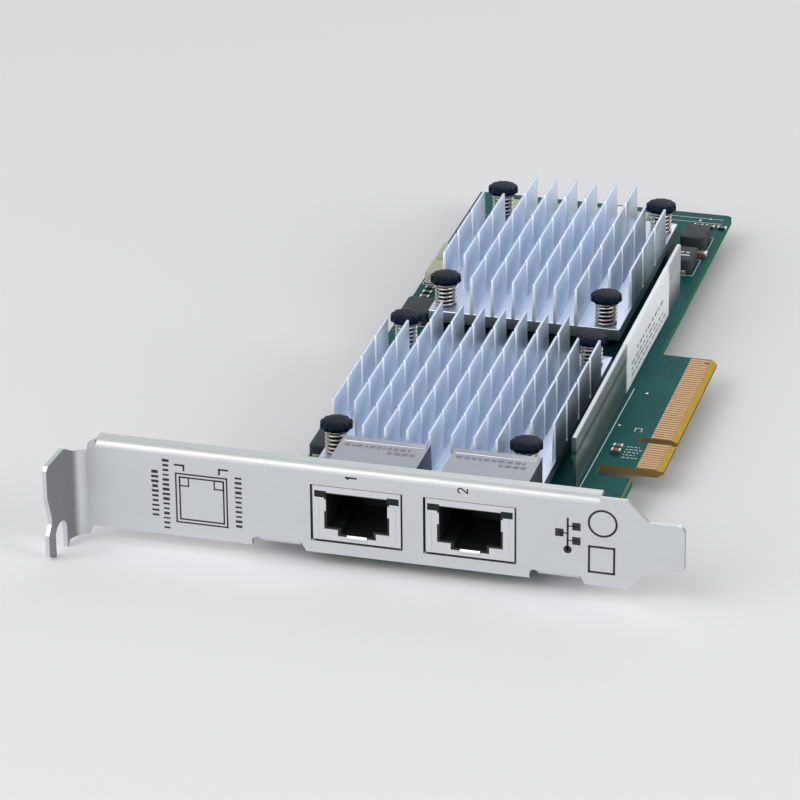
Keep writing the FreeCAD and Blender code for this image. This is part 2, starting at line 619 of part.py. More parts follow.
def jack_contacts(centre):
    """Return the row of spring wires that slope down from the roof of the plug hole."""
    wires = []
    start = SHIELD_FRONT + SHIELD_WALL + 1.6
    end = SHIELD_FRONT + SHIELD_WALL + PLUG_DEPTH - 2.2
    roof = PLUG_TOP
    for number in range(CONTACT_COUNT):
        x = centre + (number - (CONTACT_COUNT - 1) / 2) * CONTACT_PITCH - CONTACT_WIDTH / 2
        profile = [
            Vector(x, start, roof),
            Vector(x, start + 1.2, roof),
            Vector(x, end, roof - CONTACT_SAG + CONTACT_THICKNESS),
            Vector(x, end, roof - CONTACT_SAG),
            Vector(x, start + 1.0, roof - CONTACT_THICKNESS),
            Vector(x, start, roof - CONTACT_THICKNESS),
        ]
        wires.append(prism(profile, Vector(CONTACT_WIDTH, 0, 0)))
    return Part.makeCompound(wires)


def heat_sink(left, start, columns, rows, row_pitch, insets):
    """Return a cross-cut sink: a base with rows of upright blades, its four corners left bare."""
    right = left + (columns - 1) * FIN_PITCH + FIN_THICKNESS
    back = start + rows * row_pitch - FIN_GAP
    base = box(left, right, start, back, SINK_BASE_BOTTOM, SINK_BASE_TOP)
    for x, y in pin_places(left, start, columns, rows, row_pitch, insets):
        base = base.cut(shank_hole(x, y, SINK_BASE_BOTTOM, SINK_BASE_TOP))
    blades = []
    for row in range(rows):
        bare = CLEARED_COLUMNS if row in (0, rows - 1) else 0
        y = start + row * row_pitch
        for column in range(bare, columns - bare):
            x = left + column * FIN_PITCH
            blades.append(box(x, x + FIN_THICKNESS, y, y + row_pitch - FIN_GAP, SINK_BASE_TOP,
                              SINK_BASE_TOP + FIN_HEIGHT))
    return fused([base] + blades)


def spring_pins(places):
    """Return the push pins: a scalloped cap on a moulded shank that snaps under the board."""
    pins = []
    rim_top = CAP_BOTTOM + CAP_RIM
    dome_top = rim_top + CAP_DOME
    tip = BOARD_BOTTOM - SHANK_TIP
    scallop = 1 - CAP_SCALLOP_DEPTH / CAP_RADIUS
    for x, y in places:
        pins.append(fused([
            tapered(x, y, 2 * CAP_SCALLOPS, (CAP_BOTTOM, CAP_RADIUS), (rim_top, CAP_RADIUS), scallop),
            tapered(x, y, 2 * CAP_SCALLOPS, (rim_top, CAP_RADIUS), (dome_top, CAP_RADIUS * CAP_CROWN), scallop),
            tapered(x, y, SHANK_SIDES, (BOARD_BOTTOM, SHANK_RADIUS), (CAP_BOTTOM, SHANK_RADIUS)),
            tapered(x, y, SHANK_SIDES, (tip, SHANK_RADIUS * 0.6), (BOARD_BOTTOM, SHANK_RADIUS + SHANK_BARB)),
        ]))
    return Part.makeCompound(pins)


def pin_springs(places):
    """Return the coil springs between each cap and the sink's base."""
    springs = []
    lift = SPRING_WIRE / 2
    height = CAP_BOTTOM - SINK_BASE_TOP - SPRING_WIRE - SPRING_CLEARANCE
    steps = round(SPRING_TURNS * SPRING_STEPS)
    path = []
    for step in range(steps + 1):
        turn = 2 * math.pi * step / SPRING_STEPS
        path.append(Vector(SPRING_RADIUS * math.cos(turn), SPRING_RADIUS * math.sin(turn), height * step / steps))
    half = SPRING_WIRE / 2
    section = [path[0] + Vector(i * half, 0, k * half) for i, k in ((-1, -1), (1, -1), (1, 1), (-1, 1))]
    section = Part.makePolygon(section + section[:1])
    coil = Part.makePolygon(path).makePipeShell([section], True, False, 1)
    for x, y in places:
        spring = coil.copy()
        spring.translate(Vector(x, y, SINK_BASE_TOP + lift))
        springs.append(spring)
    return Part.makeCompound(springs)


def chip(sink, size):
    """Return a chip package: a thin square substrate with a smaller metal lid."""
    x, y = sink_centre(*sink)
    half = size / 2
    top = SINK_BASE_BOTTOM - PAD_GAP
    shoulder = BOARD_TOP + CHIP_SUBSTRATE
    lid = half - CHIP_LID_INSET
    substrate = box(x - half, x + half, y - half, y + half, BOARD_TOP, shoulder)
    return fused([substrate, box(x - lid, x + lid, y - lid, y + lid, shoulder, top)])


def thermal_pad(sink, size):
    """Return the soft pad between a chip's lid and the sink."""
    x, y = sink_centre(*sink)
    half = size / 2 - CHIP_LID_INSET
    return box(x - half, x + half, y - half, y + half, SINK_BASE_BOTTOM - PAD_GAP, SINK_BASE_BOTTOM)


def board_stiffener():
    """Return the upright strip beside the sinks, its upper edge folded double for stiffness."""
    outer = FACE_X + STIFFENER_FROM_FACE
    inner = outer - STIFFENER_SHEET
    top = BOARD_TOP + STIFFENER_HEIGHT
    back = STIFFENER_START + STIFFENER_LENGTH
    sheet = box(inner, outer, STIFFENER_START, back, BOARD_TOP, top)
    hem = box(inner - STIFFENER_SHEET, inner, STIFFENER_START, back, top - STIFFENER_HEM, top)
    strip = fused([sheet, hem])
    fold = [e for e in strip.Edges if all(v.Z > top - 0.01 for v in e.Vertexes)
            and abs(e.Vertexes[0].Y - e.Vertexes[-1].Y) > STIFFENER_LENGTH / 2]
    return strip.makeChamfer(STIFFENER_EDGE_BREAK, fold)


def stiffener_label():
    """Return the blank paper label on the outer face of the stiffener."""
    face = FACE_X + STIFFENER_FROM_FACE
    low = BOARD_TOP + LABEL_MARGIN
    high = BOARD_TOP + STIFFENER_HEIGHT - LABEL_MARGIN
    back = LABEL_START + LABEL_LENGTH
    outline = [
        Vector(face, LABEL_START, low + LABEL_SLANT / 3),
        Vector(face, back, low - LABEL_SLANT / 3),
        Vector(face, back, high - LABEL_SLANT),
        Vector(face, LABEL_START, high + LABEL_SLANT / 3),
    ]
    return prism(outline, Vector(LABEL_SHEET, 0, 0))


def seated(places, size):
    """Return equal block-shaped parts seated on the board, centred at places measured from the tab face."""
    width, length, height, *corner = size
    parts = []
    for x, y in places:
        left = FACE_X + x - width / 2
        part = box(left, left + width, y - length / 2, y + length / 2, BOARD_TOP, BOARD_TOP + height)
        if corner:
            upright = [e for e in part.Edges if abs(e.Vertexes[0].Z - e.Vertexes[-1].Z) > 0.1]
            part = part.makeChamfer(corner[0], upright)
        parts.append(part)
    return parts


def along(start, count, step):
    """Return evenly stepped places."""
    return [(start[0] + n * step[0], start[1] + n * step[1]) for n in range(count)]


def power_inductors():
    """Return the moulded inductors: one in front beside the sink, one midway, two in the far corner."""
    beside = seated([INDUCTOR_BESIDE_PLACE], INDUCTOR_BESIDE)
    midway = seated([INDUCTOR_MIDWAY_PLACE], INDUCTOR_MIDWAY)
    rear = seated(INDUCTOR_REAR_PLACES, INDUCTOR_REAR)
    return Part.makeCompound(beside + midway + rear)


def bulk_capacitors():
    """Return the moulded capacitors along the left edge and behind the rear sink."""
    rear = along(BULK_REAR_START, BULK_REAR_COUNT, BULK_REAR_STEP)
    return Part.makeCompound(seated(list(BULK_LEFT_PLACES) + rear, BULK_CAPACITOR))


def chip_capacitors():
    """Return the ceramic chip capacitors round the supplies, between the sinks and by the edge tab."""
    row = along(LARGE_CERAMIC_START, LARGE_CERAMIC_COUNT, LARGE_CERAMIC_STEP)
    supply = along(SUPPLY_CERAMIC_START, SUPPLY_COUNT, SUPPLY_STEP)
    edge = along(EDGE_CERAMIC_START, EDGE_CERAMIC_COUNT, EDGE_CERAMIC_STEP)
    large = seated(list(LARGE_CERAMIC_PLACES) + row, LARGE_CERAMIC)
    return Part.makeCompound(large + seated(supply + edge, SMALL_CERAMIC))


def chip_resistors():
    """Return the chip resistors by the regulators, the corner inductors and the front edge."""
    supply = along(SUPPLY_RESISTOR_START, SUPPLY_COUNT, SUPPLY_STEP)
    rear = along(REAR_RESISTOR_START, REAR_RESISTOR_COUNT, REAR_RESISTOR_STEP)
    left = along(LEFT_RESISTOR_START, LEFT_RESISTOR_COUNT, RESISTOR_STEP)
    front = along(FRONT_RESISTOR_START, FRONT_RESISTOR_COUNT, RESISTOR_STEP)
    return Part.makeCompound(seated(supply + rear + left + front, RESISTOR))


def export(name, shape):
    """Write one node."""
    shape.exportStep("parts/" + name + ".step")


os.makedirs("parts", exist_ok=True)
front_pins = pin_places(*FRONT_SINK)
rear_pins = pin_places(*REAR_SINK)
export("io_bracket", io_bracket())
export("bracket_screws", bracket_screws())
export("circuit_board", circuit_board())
export("edge_contacts_top", edge_contacts(BOARD_TOP, BOARD_TOP + PAD_THICKNESS, PADS_SHORT + PADS_LONG - 2))
export("edge_contacts_bottom", edge_contacts(BOARD_BOTTOM - PAD_THICKNESS, BOARD_BOTTOM, 0))
for side, centre in zip(("left", "right"), PORT_CENTRES):
    export("jack_shield_" + side, jack_shield(centre))
    export("jack_housing_" + side, jack_housing(centre))
    export("jack_contacts_" + side, jack_contacts(centre))
    export("jack_lights_" + side, Part.makeCompound(light_boxes(centre, 0.0)))
for side, sink, pins, size in (("front", FRONT_SINK, front_pins, FRONT_CHIP_SIZE),
                               ("rear", REAR_SINK, rear_pins, REAR_CHIP_SIZE)):
    export(side + "_heat_sink", heat_sink(*sink))
    export(side + "_push_pins", spring_pins(pins))
    export(side + "_pin_springs", pin_springs(pins))
    export(side + "_chip", chip(sink, size))
    export(side + "_thermal_pad", thermal_pad(sink, size))
export("board_stiffener", board_stiffener())
export("stiffener_label", stiffener_label())
export("power_inductors", power_inductors())
export("bulk_capacitors", bulk_capacitors())
export("chip_capacitors", chip_capacitors())
export("chip_resistors", chip_resistors())
export("voltage_regulators", Part.makeCompound(seated(REGULATOR_PLACES, REGULATOR)))
export("flash_chip", Part.makeCompound(seated([FLASH_CHIP_PLACE], FLASH_CHIP)))
export("crystals", Part.makeCompound(seated(CRYSTAL_PLACES, CRYSTAL)))
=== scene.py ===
"""Network interface card: finishes, fine pieces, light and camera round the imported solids."""
import math

import bmesh
import bpy
import numpy as np
from mathutils import Matrix, Vector


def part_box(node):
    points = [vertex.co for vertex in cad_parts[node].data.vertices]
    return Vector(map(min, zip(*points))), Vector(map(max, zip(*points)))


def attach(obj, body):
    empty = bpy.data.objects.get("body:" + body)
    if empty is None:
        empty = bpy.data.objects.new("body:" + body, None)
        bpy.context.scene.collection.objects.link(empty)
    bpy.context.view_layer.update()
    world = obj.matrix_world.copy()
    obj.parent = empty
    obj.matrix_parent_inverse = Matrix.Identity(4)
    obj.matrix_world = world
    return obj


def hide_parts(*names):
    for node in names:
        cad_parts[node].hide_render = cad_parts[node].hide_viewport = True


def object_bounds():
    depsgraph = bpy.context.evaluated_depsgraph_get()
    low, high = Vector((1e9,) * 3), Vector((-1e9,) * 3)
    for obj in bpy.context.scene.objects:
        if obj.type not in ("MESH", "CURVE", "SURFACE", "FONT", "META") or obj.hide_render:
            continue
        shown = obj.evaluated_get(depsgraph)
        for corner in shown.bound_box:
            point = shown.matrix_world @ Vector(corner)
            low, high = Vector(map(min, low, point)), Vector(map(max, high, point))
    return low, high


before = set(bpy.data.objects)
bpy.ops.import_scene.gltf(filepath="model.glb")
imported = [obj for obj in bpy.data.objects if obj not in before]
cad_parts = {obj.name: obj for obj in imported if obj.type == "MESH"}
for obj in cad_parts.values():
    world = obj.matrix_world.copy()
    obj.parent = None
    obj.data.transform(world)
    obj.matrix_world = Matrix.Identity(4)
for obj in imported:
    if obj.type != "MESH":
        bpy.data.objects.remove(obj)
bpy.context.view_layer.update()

MM = 0.001
BODY = "root"
ALONG_X, ALONG_Y, ALONG_Z = 0, 1, 2
SHARP_ANGLE = math.radians(32)

# Thickness of printed ink, and the sizes of the sinks that both their finish and their shape need
INK = 0.03 * MM
SINK_BASE = 2.55 * MM
FIN_THICKNESS = 0.8 * MM

# Camera: the point it looks at, its direction and distance from there (angles in degrees), and its lens
CAMERA_AIM = Vector((-18.28, 57.39, -3.91)) * MM
CAMERA_AZIMUTH = 15.631
CAMERA_ELEVATION = 25.712
CAMERA_DISTANCE = 906.18 * MM
CAMERA_ROLL = -0.597
CAMERA_LENS = 203.86


# -------------------- camera

def aim_camera():
    """Set the long-lens camera; its roll turns it about its own line of sight."""
    azimuth, elevation = math.radians(CAMERA_AZIMUTH), math.radians(CAMERA_ELEVATION)
    level = math.cos(elevation)
    back = Vector((math.sin(azimuth) * level, -math.cos(azimuth) * level, math.sin(elevation)))
    lens = bpy.data.cameras.new("camera")
    lens.lens = CAMERA_LENS
    lens.clip_start, lens.clip_end = 0.05, 20.0
    camera = bpy.data.objects.new("camera", lens)
    bpy.context.scene.collection.objects.link(camera)
    turn = (-back).to_track_quat("-Z", "Y").to_matrix().to_4x4()
    roll = Matrix.Rotation(math.radians(CAMERA_ROLL), 4, "Z")
    camera.matrix_world = Matrix.Translation(CAMERA_AIM + back * CAMERA_DISTANCE) @ turn @ roll
    bpy.context.scene.camera = camera


aim_camera()


# -------------------- finishes

def paint(red, green, blue):
    """A display colour (0 to 255) as the linear colour that a shader takes."""
    display = np.array([red, green, blue]) / 255
    linear = np.where(display <= 0.04045, display / 12.92, ((display + 0.055) / 1.055) ** 2.4)
    return (*linear.tolist(), 1.0)


def shade(color, scale, lift=0.0):
    """A linear colour made darker or paler: each part times scale, plus lift."""
    return (*(scale * part + lift for part in color[:3]), 1.0)


class Signal:
    """A shader socket; sums, products and comparisons of signals add their own Math nodes."""

    def __init__(self, finish, socket):
        self.finish, self.socket = finish, socket

    def math(self, operation, first, second=None):
        sockets = {0: first} if second is None else {0: first, 1: second}
        return self.finish.node("ShaderNodeMath", {"operation": operation}, sockets)

    def __add__(self, other):
        return self.math("ADD", self, other)

    def __sub__(self, other):
        return self.math("SUBTRACT", self, other)

    def __rsub__(self, other):
        return self.math("SUBTRACT", other, self)

    def __mul__(self, other):
        return self.math("MULTIPLY", self, other)

    def __gt__(self, other):
        return self.math("GREATER_THAN", self, other)

    def __lt__(self, other):
        return self.math("LESS_THAN", self, other)

    def __abs__(self):
        return self.math("ABSOLUTE", self)

    __radd__, __rmul__ = __add__, __mul__

    def repeat(self, period):
        """Where the signal stands within each period, from 0 to 1."""
        return self.math("FRACT", self * (1 / period))

    def ramp(self, low, high):
        """0 below low, 1 above high, straight between."""
        return self.finish.node("ShaderNodeMapRange", {}, {0: self, 1: low, 2: high})


class Finish:
    """A material: constants sit on the shader's own sockets, patterns are linked to a few of them."""

    def __init__(self, name, color, metallic=0.0, roughness=0.5, **constants):
        self.material = bpy.data.materials.new(name)
        self.material.use_nodes = True
        self.tree = self.material.node_tree
        self.shader = self.tree.nodes["Principled BSDF"]
        self.color = color
        self.set("Base Color", color)
        self.set("Metallic", metallic)
        self.set("Roughness", roughness)
        for socket, value in constants.items():
            self.set(socket.replace("_", " "), value)

    def plug(self, socket, value):
        if isinstance(value, Signal):
            self.tree.links.new(value.socket, socket)
        else:
            socket.default_value = value

    def set(self, name, value):
        """Give one of the shader's sockets a constant or a signal."""
        self.plug(self.shader.inputs[name], value)

    def node(self, kind, settings, sockets, output=0):
        """Add a node, set it up, feed its sockets, and return one of its outputs as a signal."""
        node = self.tree.nodes.new(kind)
        for key, value in settings.items():
            setattr(node, key, value)
        for key, value in sockets.items():
            self.plug(node.inputs[key], value)
        return Signal(self, node.outputs[output])

    def place(self, stretch=(1, 1, 1)):
        """Object coordinates, each multiplied by its part of stretch."""
        spot = self.node("ShaderNodeTexCoord", {}, {}, "Object")
        return self.node("ShaderNodeMapping", {}, {"Vector": spot, "Scale": stretch})

    def axes(self, source="Object"):
        """The three parts of the object coordinates, or of the surface's normal."""
        kind = "ShaderNodeNewGeometry" if source == "Normal" else "ShaderNodeTexCoord"
        spot = self.node(kind, {}, {}, source)
        return [self.node("ShaderNodeSeparateXYZ", {}, {0: spot}, k) for k in range(3)]

    def noise(self, size, stretch=(1, 1, 1), detail=3.0):
        """Soft random patches, size across in metres before the stretch."""
        sockets = {"Vector": self.place(stretch), "Scale": 1 / size, "Detail": detail, "Roughness": 0.55}
        return self.node("ShaderNodeTexNoise", {}, sockets)

    def cells(self, size):
        """Distance to the nearest of randomly strewn points, 0 to about 1."""
        return self.node("ShaderNodeTexVoronoi", {}, {"Vector": self.place(), "Scale": 1 / size})

    def mix(self, mask, first, second):
        """One colour going over to another where the mask is 1."""
        return self.node("ShaderNodeMix", {"data_type": "RGBA"}, {0: mask, 6: first, 7: second}, 2)

    def tint(self, mask, color):
        """Lay a colour over what the finish has so far."""
        self.color = self.mix(mask, self.color, color)
        self.set("Base Color", self.color)

    def bump(self, height, depth):
        """Raise the surface by height times depth metres."""
        self.set("Normal", self.node("ShaderNodeBump", {}, {"Height": height, "Distance": depth}))


def brushed(name, color, roughness, along, metallic=1.0):
    """Bare metal with fine lines along one axis: noise drawn out twenty times that way."""
    finish = Finish(name, color, metallic, roughness)
    stretch = [1.0, 1.0, 1.0]
    stretch[along] = 1 / 20
    lines = finish.noise(0.35 * MM, stretch, detail=2.0)
    clouds = finish.noise(9 * MM)
    finish.set("Roughness", roughness + (lines - 0.5) * 0.18 + (clouds - 0.5) * 0.12)
    finish.tint(clouds.ramp(0.35, 0.75) * 0.16, shade(color, 0.72))
    finish.bump(lines, 0.012 * MM)
    return finish


def moulded(name, color, roughness, grain=0.12 * MM, depth=0.01 * MM, **constants):
    """Moulded plastic: a fine pebbled skin with slightly uneven gloss."""
    finish = Finish(name, color, 0.0, roughness, **constants)
    pebbles = finish.cells(grain)
    clouds = finish.noise(4 * MM)
    finish.set("Roughness", roughness + (clouds - 0.5) * 0.2)
    finish.tint(clouds.ramp(0.4, 0.8) * 0.25, shade(color, 1.5, 0.004))
    finish.bump(pebbles, depth)
    return finish


def solder_mask():
    """Green mask over copper: paler flooded areas, darker routed lines and specks, and painted shade on the
    upper face under the rear sink and before it. The edge tab is bare; the cut edges show the laminate,
    yellowish at the tab."""
    finish = Finish("solder_mask", paint(0, 82, 80), 0.0, 0.36, Specular_IOR_Level=0.05)
    x, y, _ = finish.axes()
    slope = finish.axes("Normal")[2]
    copper = finish.noise(11 * MM, (1.0, 0.6, 1.0), detail=1.0).ramp(0.46, 0.50)
    lanes = finish.noise(16 * MM, (1.0, 0.5, 1.0), detail=0.0).ramp(0.52, 0.56)
    drift = finish.noise(30 * MM, detail=0.0) * (9 * MM)
    tracks = abs((x + y * 0.18 + drift).repeat(0.85 * MM) - 0.5).ramp(0.27, 0.31) * lanes
    finish.tint(copper * 0.4, paint(0, 96, 92))
    finish.tint(tracks * 0.3, paint(0, 62, 62))
    finish.tint(finish.noise(2.2 * MM, detail=4.0).ramp(0.45, 0.8) * 0.25, paint(0, 66, 62))
    # Painted shade: the board's upper face under the rear sink and 14 mm before it is darkened.
    sink_low, sink_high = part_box("rear_heat_sink")
    shade_field_start = sink_low[1] - 14 * MM
    painted_shade_field = (x > sink_low[0]) * (x < sink_high[0]) * (y > shade_field_start) * (y < sink_high[1])
    finish.tint(painted_shade_field * (slope > 0.5) * 0.75, paint(2, 26, 26))
    fibre = finish.noise(0.5 * MM, (0.25, 0.25, 3.0), detail=2.0)
    raw = finish.mix(slope.ramp(0.2, 0.5), paint(124, 102, 58), paint(206, 172, 76))
    tab_low, tab_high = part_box("edge_contacts_top")
    margin = 0.8 * MM
    tab = (x > tab_low[0] - 8 * MM) * (y > tab_low[1] - margin) * (y < tab_high[1] + margin)
    laminate = finish.mix(tab, paint(46, 104, 72), finish.mix(fibre * 0.5, raw, paint(112, 98, 54)))
    cut = abs(slope).ramp(0.9995, 0.97)
    finish.tint(cut, laminate)
    finish.tint((x > tab_low[0]) * (1 - cut), paint(132, 112, 78))
    finish.set("Roughness", 0.32 + cut * 0.35 + finish.noise(3 * MM) * 0.12)
    finish.bump(copper + tracks * -0.6 + fibre * cut * 0.5, 0.025 * MM)
    return finish


def tinned(name, tone=205):
    """Solder and tinned leads: bright, soft, with small dull patches."""
    finish = Finish(name, paint(tone, tone, tone - 6), 1.0, 0.3)
    patches = finish.noise(0.5 * MM, detail=4.0)
    finish.set("Roughness", 0.2 + patches * 0.3)
    finish.tint(patches.ramp(0.5, 0.75) * 0.3, paint(150, 150, 146))
    finish.bump(patches, 0.02 * MM)
    return finish


def gold():
    """Hard gold over copper, wiped lengthwise by the socket."""
    finish = Finish("contact_gold", paint(178, 144, 108), 1.0, 0.4)
    wipe = finish.noise(0.25 * MM, (0.08, 1.0, 1.0), detail=2.0)
    finish.set("Roughness", 0.32 + wipe * 0.24)
    finish.tint(wipe.ramp(0.45, 0.8) * 0.4, paint(158, 122, 88))
    finish.bump(wipe, 0.006 * MM)
    return finish


LABEL_WHITE = paint(238, 243, 248)


def paper():
    """Label stock: faint fibres and a slightly glossy face."""
    finish = Finish("label_paper", LABEL_WHITE, 0.0, 0.5, Sheen_Weight=0.1)
    fibres = finish.noise(0.6 * MM, (1.0, 0.3, 1.0), detail=5.0)
    finish.tint(fibres.ramp(0.4, 0.8) * 0.3, paint(218, 224, 229))
    finish.bump(fibres, 0.01 * MM)
    return finish


def ceramic():
    """Fired ceramic body of a chip capacitor: tan, with fine speckles."""
    finish = Finish("ceramic_tan", paint(104, 84, 70), 0.0, 0.42)
    specks = finish.noise(0.18 * MM, detail=4.0)
    finish.tint(specks.ramp(0.45, 0.7) * 0.5, paint(82, 62, 50))
    finish.bump(specks, 0.01 * MM)
    return finish


def rolled_strip():
    """Plated strip with lengthwise bands of painted light: a paler rim, a dark painted line under the fold, a
    painted highlight band, then a darker greenish foot painted as the board's reflection; the dark line and
    the foot fade out at the far end. The label's paper is wrapped over the rim."""
    finish = brushed("stiffener_metal", paint(184, 190, 196), 0.34, ALONG_Y)
    _, along, height = finish.axes()
    far_end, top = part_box("board_stiffener")[1][1:]
    drop = (height - top) * (-1 / MM)
    near = 1 - along.ramp(far_end - 14 * MM, far_end - 8 * MM)
    ripple = finish.noise(7 * MM, (1.0, 0.12, 1.0), detail=1.0) - 0.5
    # Painted reflections down the face: a dark line under the fold, a greenish foot where the board is
    # mirrored, and a pale highlight band.
    painted_dark_line = abs(drop + ripple * 0.5 - 3.4).ramp(0.75, 0.2)
    finish.tint((drop + ripple).ramp(4.0, 8.5) * near * 0.75, paint(96, 108, 104))
    finish.tint(abs(drop + ripple * 0.6 - 5.0).ramp(1.5, 0.3) * 0.5, paint(214, 214, 212))
    finish.tint(painted_dark_line * near * 0.75, paint(92, 94, 92))
    label_low, label_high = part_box("stiffener_label")
    wrapped = (along > label_low[1]) * (along < label_high[1]) * (height > label_low[2])
    finish.tint(wrapped, LABEL_WHITE)
    finish.set("Metallic", 1 - wrapped)
    return finish


def shield_steel():
    """Tinned sheet of the socket cans: darker grey on top, with painted shade on the sides and a painted
    highlight on the front frame.
    """
    finish = brushed("jack_steel", paint(150, 154, 162), 0.46, ALONG_Y)
    side, front, _ = finish.axes("Normal")
    # Painted shade on the faces turned sideways, painted light on the faces turned to the front.
    finish.tint(abs(side).ramp(0.5, 0.8), paint(92, 96, 102))
    finish.tint((front * -1).ramp(0.4, 0.8), paint(218, 220, 222))
    return finish


def plated_steel():
    """Plated bracket sheet: the face is bright; painted shade darkens the hem's bend and top and the sides
    facing +X.
    """
    finish = brushed("bracket_steel", paint(214, 217, 219), 0.42, ALONG_X)
    side, _, slope = finish.axes("Normal")
    # Painted shade: the bend's highlight, the hem's top and the faces turned to +X are toned down.
    bend = slope.ramp(0.15, 0.4) * (1 - slope.ramp(0.85, 0.97))
    finish.tint(bend * 0.6, paint(150, 152, 150))
    finish.tint(slope.ramp(0.8, 0.95), paint(182, 187, 188))
    finish.tint(side.ramp(0.55, 0.9), paint(146, 147, 147))
    return finish


def drawn_aluminium():
    """Drawn fins with fine lines and painted light: a painted highlight on the sheared front ends, painted
    shade on the tips and base top and darker painted shade on the base sides. Painted reflections make the
    blades near the edge tab, the front sink's last row and the outermost faces greyer."""
    finish = brushed("sink_aluminium", paint(226, 236, 250), 0.44, ALONG_Y, metallic=0.9)
    side, front, slope = finish.axes("Normal")
    x, y, z = finish.axes()
    front_low, front_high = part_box("front_heat_sink")
    rear_low, rear_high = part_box("rear_heat_sink")
    facing_right, facing_left = side.ramp(0.5, 0.9), (side * -1).ramp(0.5, 0.9)
    last_row = y.ramp(front_high[1] - 9 * MM, front_high[1] - 7 * MM) * (y < rear_low[1] - 5 * MM)
    # Painted reflections: faces turned to +X near the edge tab and in the front sink's last row, and the
    # outermost left faces, are greyed.
    finish.tint(facing_right * x.ramp(5 * MM, rear_high[0]) * 0.7, paint(132, 150, 158))
    finish.tint(facing_right * last_row * 0.5, paint(150, 164, 172))
    finish.tint(facing_left * (x < rear_low[0] + FIN_THICKNESS) * 0.7, paint(150, 164, 174))
    # Painted highlight on the front ends; painted shade on the base sides and on the upward faces.
    finish.tint((front * -1).ramp(0.5, 0.9), paint(240, 244, 248))
    base = z < front_low[2] + SINK_BASE - 0.15 * MM
    finish.tint((abs(slope) < 0.5) * base, paint(128, 138, 144))
    finish.tint(slope.ramp(0.6, 0.9), paint(188, 199, 217))
    return finish


def lens():
    """Smoky light pipe, unlit."""
    finish = Finish("light_lens", paint(26, 30, 30), 0.0, 0.3, Specular_IOR_Level=0.2)
    haze = finish.noise(1.2 * MM)
    finish.tint(haze.ramp(0.3, 0.8) * 0.5, paint(46, 52, 50))
    finish.bump(haze, 0.01 * MM)
    return finish


def ink(name, color):
    """Printed ink: nearly flat, a little uneven at its thin spots."""
    finish = Finish(name, color, 0.0, 0.6)
    thin = finish.noise(0.3 * MM, detail=4.0)
    finish.tint(thin.ramp(0.55, 0.85) * 0.3, shade(color, 0.7, 0.06))
    finish.bump(thin, 0.006 * MM)
    return finish


bracket_steel = plated_steel()
jack_steel = shield_steel()
screw_steel = brushed("screw_steel", paint(190, 192, 192), 0.35, ALONG_X)
stiffener_metal = rolled_strip()
sink_aluminium = drawn_aluminium()
spring_wire = brushed("spring_wire", paint(168, 164, 156), 0.3, ALONG_Z)
can_metal = brushed("can_metal", paint(208, 206, 196), 0.3, ALONG_X)
green_mask = solder_mask()
contact_gold = gold()
solder = tinned("solder")
lead_metal = tinned("lead_metal", tone=190)
black_plastic = moulded("black_plastic", paint(18, 19, 20), 0.45)
pin_plastic = moulded("pin_plastic", paint(2, 14, 32), 0.42, Specular_IOR_Level=0.08)
chip_black = moulded("chip_black", paint(34, 35, 36), 0.6, grain=0.08 * MM)
inductor_grey = moulded("inductor_grey", paint(46, 52, 56), 0.55, grain=0.2 * MM, depth=0.02 * MM,
                        Specular_IOR_Level=0.2)
capacitor_case = moulded("capacitor_case", paint(168, 176, 150), 0.45)
resistor_black = moulded("resistor_black", paint(26, 26, 30), 0.3)
pad_grey = moulded("pad_grey", paint(150, 152, 160), 0.8, grain=0.3 * MM, depth=0.03 * MM)
chip_case = moulded("chip_case", paint(46, 60, 56), 0.5)
ceramic_tan = ceramic()
light_lens = lens()
label_paper = paper()
white_ink = ink("white_ink", paint(214, 226, 220))
black_ink = ink("black_ink", paint(26, 28, 30))
grey_ink = ink("grey_ink", paint(120, 124, 128))

NODE_FINISH = {
    "io_bracket": bracket_steel, "bracket_screws": screw_steel, "circuit_board": green_mask,
    "edge_contacts_top": contact_gold, "edge_contacts_bottom": contact_gold,
    "jack_shield_left": jack_steel, "jack_shield_right": jack_steel,
    "jack_housing_left": black_plastic, "jack_housing_right": black_plastic,
    "jack_contacts_left": contact_gold, "jack_contacts_right": contact_gold,
    "jack_lights_left": light_lens, "jack_lights_right": light_lens,
    "front_heat_sink": sink_aluminium, "rear_heat_sink": sink_aluminium,
    "front_push_pins": pin_plastic, "rear_push_pins": pin_plastic,
    "front_pin_springs": spring_wire, "rear_pin_springs": spring_wire,
    "front_chip": chip_case, "rear_chip": chip_case,
    "front_thermal_pad": pad_grey, "rear_thermal_pad": pad_grey,
    "board_stiffener": stiffener_metal, "stiffener_label": label_paper,
    "power_inductors": inductor_grey, "bulk_capacitors": capacitor_case,
    "chip_capacitors": ceramic_tan, "chip_resistors": resistor_black,
    "voltage_regulators": chip_black, "flash_chip": chip_black, "crystals": can_metal,
}
for node, finish in NODE_FINISH.items():
    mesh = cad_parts[node].data
    mesh.materials.clear()
    mesh.materials.append(finish.material)


# -------------------- surfaces

def corners_of(node):
    """Lowest and highest corner of a CAD node, as two arrays in metres."""
    low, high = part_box(node)
    return np.array(low), np.array(high)


